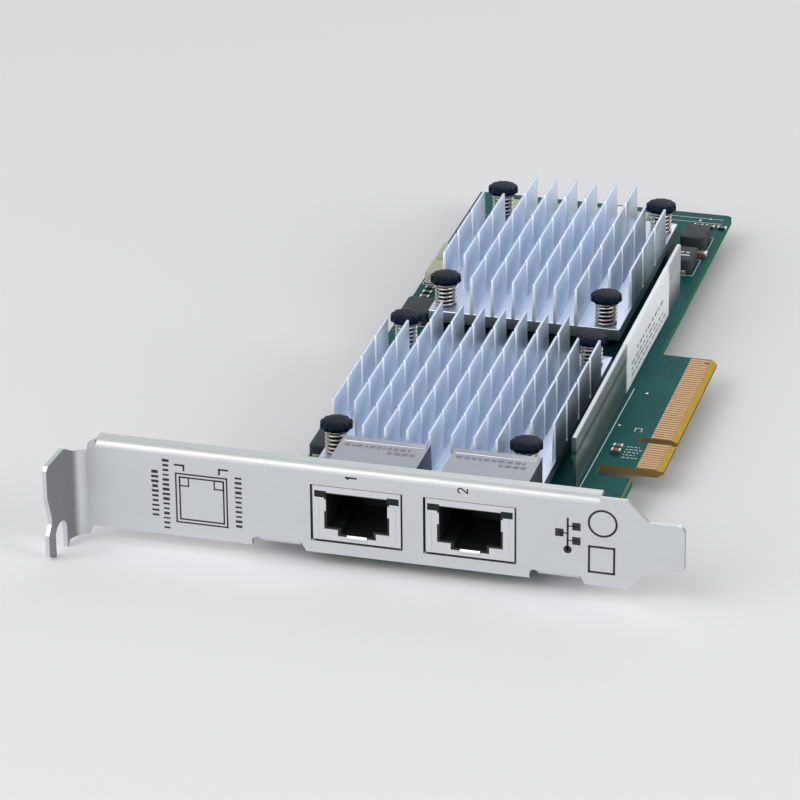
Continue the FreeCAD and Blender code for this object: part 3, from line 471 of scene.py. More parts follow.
def solids_of(node):
    """Lowest and highest corners of every separate solid in a CAD node, as two arrays in metres.
    Vertices at one place share a label; each triangle passes its smallest label to its corners until
    nothing changes."""
    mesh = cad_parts[node].data
    spots = np.empty(3 * len(mesh.vertices))
    mesh.vertices.foreach_get("co", spots)
    spots = spots.reshape(-1, 3)
    corners = np.empty(len(mesh.loops), dtype=int)
    mesh.loops.foreach_get("vertex_index", corners)
    merged = np.unique(np.round(spots / (0.002 * MM)), axis=0, return_inverse=True)[1].reshape(-1)
    triangles = merged[corners].reshape(-1, 3)
    label = np.arange(merged.max() + 1)
    while True:
        fresh = label.copy()
        np.minimum.at(fresh, triangles, label[triangles].min(axis=1)[:, None])
        if np.array_equal(fresh, label):
            break
        label = fresh
    kinds, solid = np.unique(label[merged], return_inverse=True)
    low = np.full((len(kinds), 3), np.inf)
    high = np.full((len(kinds), 3), -np.inf)
    np.minimum.at(low, solid.reshape(-1), spots)
    np.maximum.at(high, solid.reshape(-1), spots)
    return low, high


def surface(name, grids, finish):
    """Make one piece from a list of grids of points, each (copies..., rows, columns, 3). Every grid cell is
    a quad; points that coincide at seams and poles are merged, and the faces are turned outwards."""
    points, faces, start = [], [], 0
    for grid in grids:
        rows, columns = grid.shape[-3:-1]
        grid = grid.reshape(-1, rows, columns, 3)
        index = np.arange(grid[..., 0].size).reshape(grid.shape[:3]) + start
        corners = [index[:, :-1, :-1], index[:, :-1, 1:], index[:, 1:, 1:], index[:, 1:, :-1]]
        faces.append(np.stack(corners, axis=-1).reshape(-1, 4))
        points.append(grid.reshape(-1, 3))
        start += index.size
    mesh = bpy.data.meshes.new(name)
    mesh.from_pydata(np.concatenate(points).tolist(), [], np.concatenate(faces).tolist())
    shell = bmesh.new()
    shell.from_mesh(mesh)
    bmesh.ops.remove_doubles(shell, verts=shell.verts, dist=0.0005 * MM)
    bmesh.ops.recalc_face_normals(shell, faces=shell.faces)
    shell.to_mesh(mesh)
    shell.free()
    mesh.polygons.foreach_set("use_smooth", np.ones(len(mesh.polygons), dtype=bool))
    mesh.set_sharp_from_angle(angle=SHARP_ANGLE)
    mesh.materials.append(finish.material)
    piece = bpy.data.objects.new(name, mesh)
    bpy.context.scene.collection.objects.link(piece)
    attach(piece, BODY)
    return piece


def turned(profile, centres, steps, scallops=0, depth=0.0):
    """Revolve profile rows (radius, height) round upright axes at the centres. With scallops, the radius
    dips by depth times the raised cosine of scallops times the angle, on rows flagged 1 in a third column."""
    profile = np.asarray(profile, dtype=float)
    angle = np.linspace(0, 2 * np.pi, steps + 1)
    radius = np.broadcast_to(profile[:, None, 0], (len(profile), steps + 1))
    if scallops:
        radius = radius - depth * profile[:, None, 2] * (0.5 - 0.5 * np.cos(scallops * angle))
    height = np.broadcast_to(profile[:, None, 1], radius.shape)
    ring = np.stack([radius * np.cos(angle), radius * np.sin(angle), height], axis=-1)
    return np.asarray(centres, dtype=float)[:, None, None, :] + ring


def blocks(low, high, corner, edge, steps=3, foot=0.0):
    """Rounded blocks between low and high corners: each ring is a rectangle with round corners; it shrinks
    along a quarter circle at the upper edge and closes in the middle of the top and the bottom. foot rounds
    the lower edge as well."""
    low, high = np.atleast_2d(low), np.atleast_2d(high)
    middle, half = (low + high) / 2, (high - low) / 2
    quarter = np.linspace(0, np.pi / 2, steps + 1)
    under = quarter if foot else quarter[-1:]
    inset = np.concatenate([foot * (1 - np.sin(under)), edge * (1 - np.cos(quarter))])
    height = np.concatenate([low[:, None, 2] + foot * (1 - np.cos(under)),
                             high[:, None, 2] - edge * (1 - np.sin(quarter))], axis=1)
    height = np.concatenate([height[:, :1], height, height[:, -1:]], axis=1)
    turn = np.concatenate([quarter + side * np.pi / 2 for side in range(4)])
    way = np.repeat([[1, 1], [-1, 1], [-1, -1], [1, -1]], steps + 1, axis=0)
    ring = np.stack([np.cos(turn), np.sin(turn)], axis=-1)
    flat = way[None, None] * (half[:, None, None, :2] - corner) + corner * ring[None, None]
    reach = np.maximum(np.abs(flat) - inset[None, :, None, None], 0) * np.sign(flat)
    closed = np.zeros_like(reach[:, :1])
    reach = np.concatenate([closed, reach, closed], axis=1)
    reach = np.concatenate([reach, reach[:, :, :1]], axis=2)
    lift = np.broadcast_to(height[:, :, None, None], reach.shape[:3] + (1,))
    return np.concatenate([reach + middle[:, None, None, :2], lift], axis=-1)


def rod(path, across, width, thick):
    """Carry a rectangular section along paths of points (copies, points, 3). across is the unit vector of
    the width; the thickness runs along the path's normal in the other plane. Both ends are closed."""
    path = np.asarray(path, dtype=float)
    across = np.asarray(across, dtype=float)
    along = np.gradient(path, axis=-2)
    normal = np.cross(along, across)
    normal /= np.linalg.norm(normal, axis=-1, keepdims=True)
    corners = [(-1, -1), (1, -1), (1, 1), (-1, 1), (-1, -1)]
    ring = np.stack([path + across * (width / 2 * a) + normal * (thick / 2 * b) for a, b in corners], axis=-2)
    first = np.broadcast_to(path[..., :1, None, :], ring[..., :1, :, :].shape)
    last = np.broadcast_to(path[..., -1:, None, :], ring[..., -1:, :, :].shape)
    return np.concatenate([first, ring, last], axis=-3)


def stroke(path, width, height, plane):
    """A flat printed line: the path (points, 2) widened to width and raised to height off a plane, which is
    a function from (first, second, lift) to a point. Corners are mitred by the average direction."""
    path = np.asarray(path, dtype=float)
    along = np.gradient(path, axis=0)
    along /= np.linalg.norm(along, axis=-1, keepdims=True)
    side = np.stack([-along[:, 1], along[:, 0]], axis=-1) * width / 2
    rings = []
    for sign, lift in ((-1, 0), (-1, height), (1, height), (1, 0), (-1, 0)):
        spot = path + sign * side
        rings.append(plane(spot[:, 0], spot[:, 1], np.full(len(path), lift)))
    ring = np.stack(rings, axis=1)
    first = np.broadcast_to(ring[:1].mean(axis=1, keepdims=True), ring[:1].shape)
    last = np.broadcast_to(ring[-1:].mean(axis=1, keepdims=True), ring[-1:].shape)
    return np.concatenate([first, ring, last], axis=0)


def printed(centres, rims, height, plane):
    """Flat shapes raised to height off a plane: each rim (points, 2) closed over its centre on both sides."""
    middle = np.broadcast_to(centres[:, None], rims.shape)
    rows = [(middle, 0), (rims, 0), (rims, height), (middle, height)]
    return np.stack([plane(f[..., 0], f[..., 1], np.full(f.shape[:2], h)) for f, h in rows], axis=1)


def slabs(centres, sizes, height, plane):
    """Flat printed rectangles: centres and sizes are (count, 2) on a plane function as in stroke."""
    centres = np.atleast_2d(np.asarray(centres, dtype=float))
    sizes = np.broadcast_to(np.asarray(sizes, dtype=float), centres.shape)
    corners = np.array([(-1, -1), (1, -1), (1, 1), (-1, 1), (-1, -1)]) / 2
    return printed(centres, centres[:, None] + corners * sizes[:, None], height, plane)


def discs(centres, radius, height, plane, steps=12):
    """Flat printed dots of one radius on a plane function."""
    centres = np.atleast_2d(np.asarray(centres, dtype=float))
    angle = np.linspace(0, 2 * np.pi, steps + 1)
    ring = radius * np.stack([np.cos(angle), np.sin(angle)], axis=-1)
    return printed(centres, centres[:, None] + ring, height, plane)


board_low, board_high = corners_of("circuit_board")


def on_board(x, y, lift):
    """A point on the component side."""
    return np.stack([x, y, board_high[2] + lift], axis=-1)


def on_bracket(x, z, lift):
    """A point on the bracket's outer face."""
    return np.stack([x, -lift, z], axis=-1)


# -------------------- heat sinks

FIN_GAP = 1.2 * MM
FIN_EDGE = 0.1 * MM
FIN_TAPER = 0.4
FIN_ROOT = 0.2 * MM
SINK_GRIDS = {"front_heat_sink": (11, 6), "rear_heat_sink": (10, 5)}


def heat_sink(node, columns, rows):
    """Blades with softly rounded edges on a base, in the places of the CAD node: column k stands at k times
    the pitch that spreads the columns over the width, row r likewise; the four corners stay bare. As drawn
    fins do, each blade thins evenly from its foot to its tip."""
    low, high = corners_of(node)
    base_top = low[2] + SINK_BASE
    pitch = (high[0] - low[0] - FIN_THICKNESS) / (columns - 1)
    row_pitch = (high[1] - low[1] + FIN_GAP) / rows
    column, row = (part.ravel() for part in np.meshgrid(np.arange(columns), np.arange(rows), indexing="ij"))
    bare = ((row == 0) | (row == rows - 1)) & ((column < 2) | (column > columns - 3))
    column, row = column[~bare], row[~bare]
    root = np.full(len(row), base_top - FIN_ROOT)
    foot = np.stack([low[0] + column * pitch, low[1] + row * row_pitch, root], axis=-1)
    top = foot + np.array([FIN_THICKNESS, row_pitch - FIN_GAP, 0])
    top[:, 2] = high[2]
    blades = blocks(foot, top, FIN_EDGE, FIN_EDGE, steps=2)
    centre = (foot[:, 0] + FIN_THICKNESS / 2)[:, None, None]
    climb = (blades[..., 2] - foot[0, 2]) / (high[2] - foot[0, 2])
    blades[..., 0] = centre + (blades[..., 0] - centre) * (1 - FIN_TAPER * climb)
    base = blocks(low, (high[0], high[1], base_top), corner=0.3 * MM, edge=0.15 * MM, foot=0.15 * MM)
    piece = surface(node + "_bladed", [blades, base], sink_aluminium)
    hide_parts(node)


for node, (columns, rows) in SINK_GRIDS.items():
    heat_sink(node, columns, rows)


# -------------------- push pins and springs

CAP_RIM = 1.1 * MM
CAP_CROWN = 0.65 * MM
CAP_SCALLOPS = 12
SCALLOP_DEPTH = 0.24 * MM
SHANK_RADIUS = 1.3 * MM
BARB = 0.4 * MM
WIRE = 0.5 * MM
COILS = 6.0
END_TURN = 0.8


def push_pins(side):
    """Scalloped caps with a domed crown, a shank and a barbed tip, turned about each pin's axis. Return the
    places of the pins and the height of the caps' undersides."""
    low, high = solids_of(side + "_push_pins")
    centres = (low + high) / 2
    centres[:, 2] = 0
    radius = (high[0, 0] - low[0, 0]) / 2
    top, tip = high[0, 2], low[0, 2]
    rim = top - CAP_CROWN
    seat = rim - CAP_RIM
    under = board_low[2]
    bend = np.linspace(0, np.pi / 2, 7)
    crown = np.stack([(0.25 + 0.72 * np.cos(bend)) * radius, rim + CAP_CROWN * np.sin(bend),
                      np.cos(bend) ** 2], axis=-1)
    profile = np.array([
        (0, tip, 0), (0.55 * SHANK_RADIUS, tip, 0), (SHANK_RADIUS + BARB, under - 0.35 * MM, 0),
        (SHANK_RADIUS + BARB, under, 0), (SHANK_RADIUS, under, 0), (SHANK_RADIUS, seat, 0),
        (0.88 * radius, seat, 0), (0.97 * radius, seat + 0.1 * MM, 1), (radius, seat + 0.3 * MM, 1),
        (radius, rim - 0.15 * MM, 1)])
    profile = np.concatenate([profile, crown, [(0, top, 0)]])
    pins = turned(profile, centres, 8 * CAP_SCALLOPS, CAP_SCALLOPS, SCALLOP_DEPTH)
    piece = surface(side + "_scalloped_pins", [pins], pin_plastic)
    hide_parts(side + "_push_pins")
    return centres, seat


def pin_springs(side, centres, seat):
    """Round-wire coils between the sink's base and the caps: the wire's centre climbs by nearly its own
    thickness over each end turn and evenly between, at a constant radius about the pin."""
    low, high = solids_of(side + "_pin_springs")
    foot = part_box(side + "_heat_sink")[0][2] + SINK_BASE
    radius = (high[0, 1] - low[0, 1]) / 2 - WIRE / 2
    turns = np.linspace(0, COILS, round(COILS * 24) + 1)
    climb = np.interp(turns, [0, END_TURN, COILS - END_TURN, COILS],
                      [0, END_TURN * WIRE, seat - foot - (1 + END_TURN) * WIRE, seat - foot - WIRE])
    angle = 2 * np.pi * turns
    around = np.linspace(0, 2 * np.pi, 9)
    reach = radius + WIRE / 2 * np.cos(around)
    coil = np.stack([reach * np.cos(angle)[:, None], reach * np.sin(angle)[:, None],
                     climb[:, None] + WIRE / 2 * np.sin(around)], axis=-1)
    ends = coil.mean(axis=1, keepdims=True)
    coil = np.concatenate([np.broadcast_to(ends[:1], coil[:1].shape), coil,
                           np.broadcast_to(ends[-1:], coil[-1:].shape)], axis=0)
    coils = centres[:, None, None, :] + coil + np.array([0, 0, foot + WIRE / 2])
    piece = surface(side + "_coil_springs", [coils], spring_wire)
    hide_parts(side + "_pin_springs")


for side in ("front", "rear"):
    centres, seat = push_pins(side)
    pin_springs(side, centres, seat)


# -------------------- small parts on the board

# Feet of the moulded bodies: half their size and their way from the middle, as shares of the body's size
FOOT_HALF_LENGTH, FOOT_HALF_WIDTH = 0.072, 0.288
FOOT_PLACE = 0.43
LEAD_THICKNESS = 0.16 * MM

def capped_chips(node, body, end_share):
    """Chip parts: a rounded body held between two tinned end caps, end_share of the length each."""
    low, high = solids_of(node)
    size = high - low
    rows, long_axis = np.arange(len(size)), np.argmax(size[:, :2], axis=1)
    share = np.zeros_like(size)
    share[rows, long_axis] = end_share
    inner_low, inner_high = low + size * share, high - size * share
    thin = 0.04 * MM
    core = blocks(inner_low + (0, 0, thin), inner_high - (0, 0, thin),
                  corner=0.02 * MM, edge=0.08 * MM, steps=2, foot=0.05 * MM)
    first_high, last_low = high.copy(), low.copy()
    first_high[rows, long_axis] = inner_low[rows, long_axis]
    last_low[rows, long_axis] = inner_high[rows, long_axis]
    caps = [blocks(near, far, corner=0.1 * MM, edge=0.12 * MM, steps=2, foot=0.06 * MM)
            for near, far in ((low, first_high), (last_low, high))]
    piece = surface(node + "_bodies", [core], body)
    surface(node + "_ends", caps, lead_metal)
    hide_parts(node)


def moulded_blocks(node, finish, corner, edge):
    """Moulded bodies with round corners and a soft upper edge, over a thin tinned foot at both ends."""
    low, high = solids_of(node)
    bodies = blocks(low + (0, 0, 0.12 * MM), high, corner, edge, steps=4)
    piece = surface(node + "_bodies", [bodies], finish)
    size, middle = (high - low)[:, :2], ((low + high) / 2)[:, :2]
    lengthwise = np.arange(2) == np.argmax(size, axis=1)[:, None]
    half = size * np.where(lengthwise, FOOT_HALF_LENGTH, FOOT_HALF_WIDTH)
    feet = []
    for way in (-1, 1):
        spot = middle + size * np.where(lengthwise, FOOT_PLACE * way, 0)
        foot_low = np.concatenate([spot - half, low[:, 2:]], axis=1)
        foot_high = np.concatenate([spot + half, low[:, 2:] + 0.9 * MM], axis=1)
        feet.append(blocks(foot_low, foot_high, corner=0.05 * MM, edge=0.05 * MM, steps=2))
    surface(node + "_feet", feet, lead_metal)
    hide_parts(node)


def inductor_marks():
    """Three short pale bars over a long one, on the top of the nearer inductor in the far corner."""
    low, high = solids_of("power_inductors")
    tall = high[:, 2] > high[:, 2].max() - 0.1 * MM
    nearer = np.argmin(np.where(tall, low[:, 1], np.inf))
    low, high = low[nearer], high[nearer]
    size, middle = (high - low)[:2], (low + high)[:2] / 2

    def on_top(x, y, lift):
        """A point on the inductor's top."""
        return np.stack([x, y, high[2] + lift], axis=-1)

    short, long = (0.14, 0.08), (0.66, 0.08)
    marks = (((-0.22, 0.08), short), ((0.0, 0.08), short), ((0.22, 0.08), short), ((0.0, -0.12), long))
    grids = [slabs(middle + size * spot, size * share, INK, on_top) for spot, share in marks]
    surface("inductor_marks", grids, white_ink)


def gull_leads(node, name, pitch, count, axis, reach, drop, wide):
    """Bent leads along two sides of a chip: each leaves the body, bends down and ends flat on the board.
    The path is a smooth step: the height falls with the cosine of the way out. axis points out of the chip;
    reach and drop are the lead's length and fall, wide its width."""
    low, high = solids_of(node)
    middle = (low + high) / 2
    half = (high - low)[:, axis] / 2
    out = np.linspace(0, 1, 9)
    fall = drop * (0.5 + 0.5 * np.cos(np.pi * np.clip((out - 0.2) / 0.4, 0, 1)))
    offsets = (np.arange(count) - (count - 1) / 2) * pitch
    other = 1 - axis
    across = np.eye(3)[other]
    grids = []
    for way in (-1, 1):
        path = np.zeros((len(middle), count, len(out), 3))
        path[..., axis] = middle[:, None, None, axis] + way * (half[:, None, None] - 0.1 * MM + reach * out)
        path[..., other] = middle[:, None, None, other] + offsets[None, :, None]
        path[..., 2] = board_high[2] + 0.1 * MM + fall
        grids.append(rod(path.reshape(-1, len(out), 3), across, wide, LEAD_THICKNESS))
    surface(name, grids, lead_metal)


moulded_blocks("power_inductors", inductor_grey, corner=0.9 * MM, edge=0.35 * MM)
moulded_blocks("bulk_capacitors", capacitor_case, corner=0.25 * MM, edge=0.3 * MM)
inductor_marks()
capped_chips("chip_capacitors", ceramic_tan, end_share=0.24)
capped_chips("chip_resistors", resistor_black, end_share=0.2)
gull_leads("flash_chip", "flash_leads", pitch=1.27 * MM, count=6, axis=ALONG_X,
           reach=1.1 * MM, drop=0.8 * MM, wide=0.42 * MM)
gull_leads("voltage_regulators", "regulator_leads", pitch=0.65 * MM, count=7, axis=ALONG_Y,
           reach=0.75 * MM, drop=0.35 * MM, wide=0.28 * MM)


# -------------------- sockets

TONGUE_WIDTH = 3.9 * MM
TONGUE_HEIGHT = 1.0 * MM
TONGUE_BOW = 0.22 * MM
TONGUE_SHEET = 0.14 * MM
SEAM_BESIDE = 7.52 * MM
SEAM_DROP = 2.9 * MM
SEAM_LENGTH = 7.7 * MM
FOLD_START, FOLD_END = 2.2 * MM, 0.25 * MM


def socket_details(side):
    """The sprung tongue under the plug hole, the seams beside it and the fold at the can's rear edge. The
    tongue bows outwards by the sine of the way up."""
    low, high = corners_of("jack_shield_" + side)
    centre = (low[0] + high[0]) / 2
    front, top = low[1], high[2]
    lift = np.linspace(0, 1, 7)
    tongue = np.stack([np.full(7, centre), front + 0.10 * MM - TONGUE_BOW * np.sin(np.pi * lift),
                       low[2] + 0.35 * MM + TONGUE_HEIGHT * lift], axis=-1)
    grids = [rod(tongue[None], (1, 0, 0), TONGUE_WIDTH, TONGUE_SHEET)]
    for way in (-1, 1):
        upper = np.array([centre + way * SEAM_BESIDE, front - 0.01 * MM, top - SEAM_DROP])
        seam = np.linspace(upper, upper - (0, 0, SEAM_LENGTH), 3)
        grids.append(rod(seam[None], (1, 0, 0), 0.18 * MM, 0.08 * MM))
    surface("jack_tongue_" + side, grids, jack_steel)
    fold_low = (low[0] + 0.4 * MM, high[1] - FOLD_START, top - 0.1 * MM)
    fold_high = (high[0] - 0.4 * MM, high[1] - FOLD_END, top + 0.14 * MM)
    fold = blocks(fold_low, fold_high, corner=0.3 * MM, edge=0.12 * MM)
    surface("jack_fold_" + side, [fold], jack_steel)


def socket_marks():
    """Rows of grey dashes near the rear edge of each can's top, the second row short."""
    chance = np.random.default_rng(23)
    grids = []
    for side in ("left", "right"):
        low, high = corners_of("jack_shield_" + side)

        def on_can(x, y, lift):
            """A point on the can's top."""
            return np.stack([x, y, high[2] + lift], axis=-1)

        for back, start in ((3.7, 1.2), (5.5, 10.0)):
            reach = low[0] + start * MM
            while reach < high[0] - 2.6 * MM:
                length = chance.uniform(0.5, 1.3) * MM
                spot = (reach + length / 2, high[1] - back * MM)
                grids.append(slabs([spot], (length, 1.1 * MM), 0.02 * MM, on_can))
                reach += length + chance.uniform(0.3, 0.5) * MM
    surface("jack_marks", grids, grey_ink)


for side in ("left", "right"):
    socket_details(side)
socket_marks()


# -------------------- print on the bracket

# Places on the bracket are (x, z) in millimetres from the point midway between the sockets
SOCKET_SIGN = ((-46.6, -36.5, -6.2, 4.1), (-45.85, -37.15, -5.5, 3.4))
SIGN_CORNERS = ((-45.85, -44.1), (-38.95, -37.15))
SIGN_POINTERS = (((-45.0, 4.9), (-45.0, 5.9), (-46.7, 5.9)), ((-37.95, 4.9), (-37.95, 5.9), (-36.3, 5.9)))
NETWORK_STEM = 29.88
NETWORK_TOP, NETWORK_FOOT = 4.1, -2.3
NETWORK_BOXES = ((28.3, 1.1), (31.55, 2.65), (31.55, -0.35))
CIRCLE_PLACE, CIRCLE_RADIUS = (36.55, 3.9), 2.65
SQUARE = (34.0, 38.8, -6.4, -1.1)
PORT_ONE = (((-12.95, 7.34), (-11.0, 7.34)), ((-12.5, 7.34), (-12.75, 7.05)))
PORT_TWO_PLACE = (10.75, 6.8)
KEY_COLUMNS = ((-50.8, -5.2, 4.4), (-48.6, -7.7, 7.0), (-34.2, -5.7, 5.2))
KEY_STEP = 1.02


def bars(path, width):
    """Straight printed bars between the points of a path, each a slab that overlaps the corners; the path
    and the width are in millimetres."""
    path = np.asarray(path, dtype=float) * MM
    first, last = path[:-1], path[1:]
    return slabs((first + last) / 2, np.abs(last - first) + width * MM, INK, on_bracket)


def frame_bars(left, right, bottom, top, width):
    """The printed outline of a rectangle, from mid-side round to mid-side."""
    middle = ((left + right) / 2, top)
    return bars([middle, (right, top), (right, bottom), (left, bottom), (left, top), middle], width)


def socket_sign():
    """A socket seen from the front: two frames, a small one in each upper corner, and a pointer to each."""
    grids = [frame_bars(*sides, 0.3) for sides in SOCKET_SIGN]
    bottom, top = 1.6, SOCKET_SIGN[1][3]
    grids += [frame_bars(left, right, bottom, top, 0.26) for left, right in SIGN_CORNERS]
    return grids + [bars(path, 0.36) for path in SIGN_POINTERS]


def network_symbol():
    """A stem that ends in a dot, with three boxes on arms beside it."""
    grids = [bars([(NETWORK_STEM, NETWORK_TOP), (NETWORK_STEM, NETWORK_FOOT)], 0.4)]
    grids.append(discs(np.array([(NETWORK_STEM, NETWORK_FOOT)]) * MM, 0.8 * MM, INK, on_bracket, 20))
    grids.append(slabs(np.array(NETWORK_BOXES) * MM, (1.6 * MM, 1.6 * MM), INK, on_bracket))
    return grids + [bars([(NETWORK_STEM, z), (x, z)], 0.22) for x, z in NETWORK_BOXES]


def plain_outlines():
    """A circle and a square in place of the signs at the bracket's end."""
    around = np.linspace(0, 2 * np.pi, 49)
    ring = np.array(CIRCLE_PLACE) + CIRCLE_RADIUS * np.stack([np.cos(around), np.sin(around)], axis=-1)
    return [stroke(ring * MM, 0.42 * MM, INK, on_bracket), frame_bars(*SQUARE, 0.42)]


def port_numbers():
    """The numbers 1 and 2, lying on their sides. The 2 is an arc of a circle, a slanted line and a foot."""
    stem, flag = PORT_ONE
    grids = [bars(stem, 0.34), bars(flag, 0.2)]
    bend = np.radians(np.linspace(165, -40, 14))
    hook = np.stack([0.55 + 0.5 * np.cos(bend), 1.45 + 0.5 * np.sin(bend)], axis=-1)
    slant = np.concatenate([hook, [(0.55, 0.6), (0.12, 0.1)]])
    foot = np.array([(0.05, 0.1), (1.1, 0.1)])
    x, z = PORT_TWO_PLACE
    for line in (slant, foot):
        lying = np.stack([x - line[:, 1], z + line[:, 0]], axis=-1) * MM
        grids.append(stroke(lying, 0.26 * MM, INK, on_bracket))
    return grids


def key_dashes():
    """Columns of uneven dashes in place of the words beside the socket sign."""
    chance = np.random.default_rng(7)
    grids = []
    for x, z_low, z_high in KEY_COLUMNS:
        z = np.arange(z_low, z_high, KEY_STEP)
        width = chance.uniform(1.1, 1.5, len(z))
        centre = np.stack([np.full(len(z), x), z], axis=-1) * MM
        size = np.stack([width, chance.uniform(0.3, 0.62, len(z))], axis=-1) * MM
        grids.append(slabs(centre, size, INK, on_bracket))
    return grids


bracket_marks = socket_sign() + network_symbol() + plain_outlines() + port_numbers()
surface("bracket_marks", bracket_marks, black_ink)
surface("bracket_dashes", key_dashes(), black_ink)


# -------------------- print and solder on the board

LEGEND_MARGINS = {"power_inductors": 0.5, "bulk_capacitors": 0.4, "voltage_regulators": 0.8,
                  "flash_chip": 0.5, "crystals": 0.4}
WORD_ROWS, WORDS_IN_ROW = 5, 4
LEG_ROWS = (12.2, 14.7, 18.4)
LEGS_IN_ROW, LEG_PITCH = 6, 2.04 * MM
CORNER_LEG_BESIDE = 7.9 * MM
CORNER_LEG_ROWS = (6.2, 14.6)


def guide_lines():
    """A line along the foot of the stiffener and a long box at the rear corner."""
    face, far_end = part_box("board_stiffener")[1][:2]
    start = (face + 0.15 * MM, board_low[1] + 0.6 * MM)
    end = (face + 1.0 * MM, far_end - 48 * MM)
    left, right = face - 20 * MM, face + 1.1 * MM
    front, back = board_high[1] - 5.0 * MM, board_high[1] - 2.7 * MM
    box = np.array([(left, front), (right, front), (right, back), (left, back), (left, front)])
    line = np.linspace(start, end, 3)
    return [stroke(line, 0.2 * MM, INK, on_board), stroke(box, 0.15 * MM, INK, on_board)]


def word_dashes():
    """Rows of short dashes beside the edge tab, and two small open boxes behind them."""
    corner = np.array([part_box("chip_capacitors")[1][0] + 1.1 * MM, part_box("edge_contacts_top")[0][1]])
    chance = np.random.default_rng(5)
    grids = []
    for row in range(WORD_ROWS):
        length = chance.uniform(0.25, 0.7, WORDS_IN_ROW)
        start = np.concatenate([[0], np.cumsum(length[:-1] + 0.3)])
        spot = np.stack([start + length / 2 - 0.5, np.full(WORDS_IN_ROW, 3.6 + 1.2 * row)], axis=-1)
        size = np.stack([length, np.full(WORDS_IN_ROW, 0.26)], axis=-1)
        grids.append(slabs(corner + spot * MM, size * MM, INK, on_board))
    for spot in ((-0.6, 15.4), (3.6, 26.3)):
        box = np.array([(0, 0), (1.3, 0), (1.3, 1.5), (0, 1.5), (0, 0), (1.3, 0)])
        grids.append(stroke(corner + (box + spot) * MM, 0.28 * MM, INK, on_board))
    return grids


def part_frames():
    """Thin frames round the larger parts, each its node's margin away and kept on the board."""
    grids = []
    for node, margin in LEGEND_MARGINS.items():
        lows, highs = solids_of(node)
        lows, highs = lows - margin * MM, highs + margin * MM
        lows[:, 0] = np.maximum(lows[:, 0], board_low[0] + 0.2 * MM)
        for a, b in zip(lows, highs):
            corners = np.array([(a[0], a[1]), (b[0], a[1]), (b[0], b[1]), (a[0], b[1]), (a[0], a[1])])
            first, last = corners[:-1], corners[1:]
            grids.append(slabs((first + last) / 2, np.abs(last - first) + 0.15 * MM, INK, on_board))
    return grids


def board_pads():
    """Tinned test pads and vias: three beside the edge tab, a row between the sinks, some at the rear."""
    chance = np.random.default_rng(3)
    tab_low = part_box("edge_contacts_top")[0]
    near = np.array([(-7.3, 17.4), (-9.4, 13.6), (-5.2, 33.0)]) * MM + (tab_low[0], tab_low[1])
    sink_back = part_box("front_heat_sink")[1][1]
    x = np.arange(board_low[0] + 3 * MM, board_low[0] + 52 * MM, 2.6 * MM)
    between = np.stack([x, sink_back + 5.9 * MM + chance.uniform(-5, 6, len(x)) * MM], axis=-1)
    rear_x = chance.uniform(board_low[0] + 4 * MM, board_low[0] + 54 * MM, 26)
    rear = np.stack([rear_x, board_high[1] - chance.uniform(1.5, 14, 26) * MM], axis=-1)
    pads = discs(np.concatenate([near, between, rear]), 0.32 * MM, INK, on_board)
    surface("board_vias", [pads], solder)


def solder_side():
    """Solder cones under each socket: three rows of pins, the middle one shifted, and four corner legs."""
    profile = np.array([(0, 0), (0.95, 0), (0.8, -0.18), (0.5, -0.5), (0.32, -0.8), (0.22, -1.05),
                        (0, -1.1)]) * MM
    legs = []
    for side in ("left", "right"):
        low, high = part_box("jack_housing_" + side)
        centre = (low[0] + high[0]) / 2
        spread = centre + (np.arange(LEGS_IN_ROW) - (LEGS_IN_ROW - 1) / 2) * LEG_PITCH
        for row, y in enumerate(LEG_ROWS):
            x = spread + (0.5 * MM if row % 2 else 0)
            legs.append(np.stack([x, np.full(len(x), y * MM), np.full(len(x), board_low[2])], axis=-1))
        x = centre + CORNER_LEG_BESIDE * np.array([-1, 1, -1, 1])
        y = np.repeat(CORNER_LEG_ROWS, 2) * MM
        legs.append(np.stack([x, y, np.full(len(x), board_low[2])], axis=-1))
    surface("solder_joints", [turned(profile, np.concatenate(legs), 14)], solder)


surface("board_legend", guide_lines() + word_dashes() + part_frames(), white_ink)
board_pads()
solder_side()


# -------------------- label on the stiffener

LABEL_ROWS = ((4.4, 9, 31, 0.6), (6.0, 4, 26, 0.5), (7.3, 4, 33, 0.5), (8.7, 4, 35, 0.4))


def label_print():
    """Faint grey dashes in place of the label's print. A row is its drop from the label's top edge, where it
    starts and stops, and how thick it is."""
    low, high = corners_of("stiffener_label")

    def on_label(y, z, lift):
        """A point on the label, whose rows sink along its length, the upper ones more than the lower."""
        along = (y - low[1]) / (high[1] - low[1])
        down = (high[2] - z) / (high[2] - low[2])
        return np.stack([high[0] + lift, y, z - along * (1.0 - 0.67 * down) * MM], axis=-1)

    chance = np.random.default_rng(11)
    grids = []
    for drop, start, stop, thick in LABEL_ROWS:
        y = low[1] + start * MM
        while y < low[1] + stop * MM:
            length = chance.uniform(1.0, 3.0) * MM
            spot = (y + length / 2, high[2] - drop * MM)
            grids.append(slabs([spot], (length, thick * MM), 0.02 * MM, on_label))
            y += length + chance.uniform(0.6, 1.4) * MM
    surface("label_blocks", grids, grey_ink)


label_print()


# -------------------- stage and light

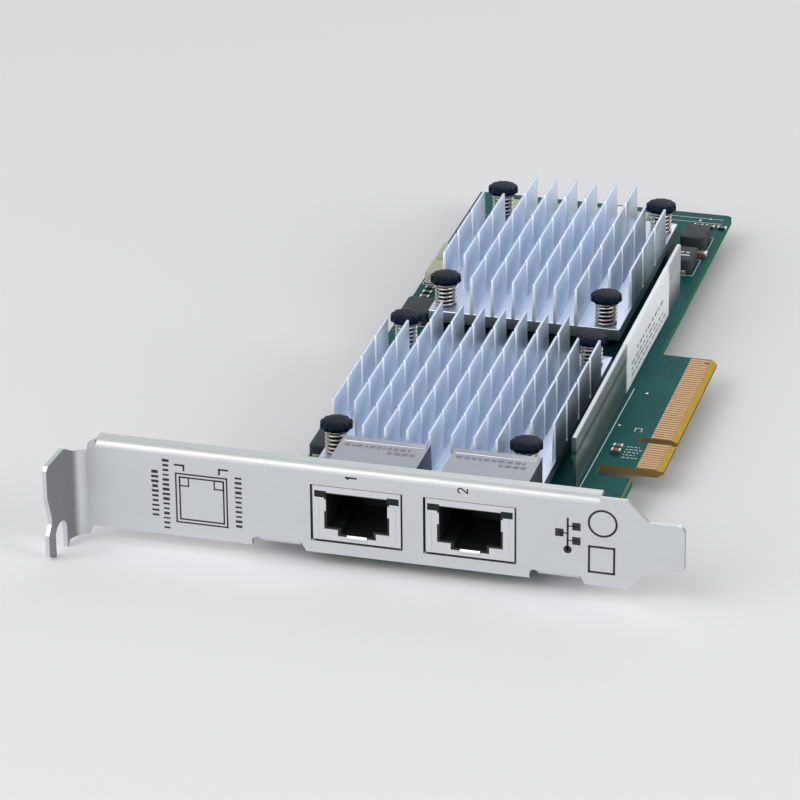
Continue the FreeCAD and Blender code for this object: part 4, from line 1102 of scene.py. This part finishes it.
def stage_floor():
    """A wide pale floor just under the lowest point."""
    reach = 3.0
    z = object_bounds()[0][2] - 0.02 * MM
    corners = [(-reach, -reach, z), (reach, -reach, z), (reach, reach, z), (-reach, reach, z)]
    mesh = bpy.data.meshes.new("floor")
    mesh.from_pydata(corners, [], [(0, 1, 2, 3)])
    mesh.materials.append(Finish("floor", paint(236, 236, 238), 0.0, 0.9).material)
    floor = bpy.data.objects.new("floor", mesh)
    bpy.context.scene.collection.objects.link(floor)


def lamp(name, spot, aim, size, power):
    """A square soft lamp turned towards a point."""
    data = bpy.data.lights.new(name, "AREA")
    data.size, data.energy = size, power
    light = bpy.data.objects.new(name, data)
    light.location = spot
    light.rotation_mode = "QUATERNION"
    light.rotation_quaternion = (Vector(aim) - Vector(spot)).to_track_quat("-Z", "Y")
    bpy.context.scene.collection.objects.link(light)


def studio():
    """Even white surroundings, full white where the camera or a reflection sees them, and three soft
    lamps."""
    world = bpy.data.worlds.new("studio")
    bpy.context.scene.world = world
    world.use_nodes = True
    tree = world.node_tree
    backdrop = tree.nodes["Background"]
    backdrop.inputs["Color"].default_value = (1.0, 1.0, 1.0, 1.0)
    rays = tree.nodes.new("ShaderNodeLightPath")
    seen = rays.outputs["Is Camera Ray"]
    for kind in ("Is Glossy Ray", "Is Transmission Ray"):
        either = tree.nodes.new("ShaderNodeMath")
        either.operation = "MAXIMUM"
        tree.links.new(seen, either.inputs[0])
        tree.links.new(rays.outputs[kind], either.inputs[1])
        seen = either.outputs[0]
    strength = tree.nodes.new("ShaderNodeMapRange")
    strength.inputs["To Min"].default_value = 0.42
    strength.inputs["To Max"].default_value = 1.0
    tree.links.new(seen, strength.inputs["Value"])
    tree.links.new(strength.outputs[0], backdrop.inputs["Strength"])
    lamp("key", (-0.55, -0.66, 0.66), (0, 0.06, 0), 1.0, 7.0)
    lamp("fill", (0.80, -0.25, 0.38), (0, 0.05, 0), 0.5, 3.0)
    lamp("rim", (0.10, 0.85, 0.55), (0, 0.08, 0), 0.5, 1.2)
    bpy.context.scene.view_settings.view_transform = "Standard"


stage_floor()
studio()
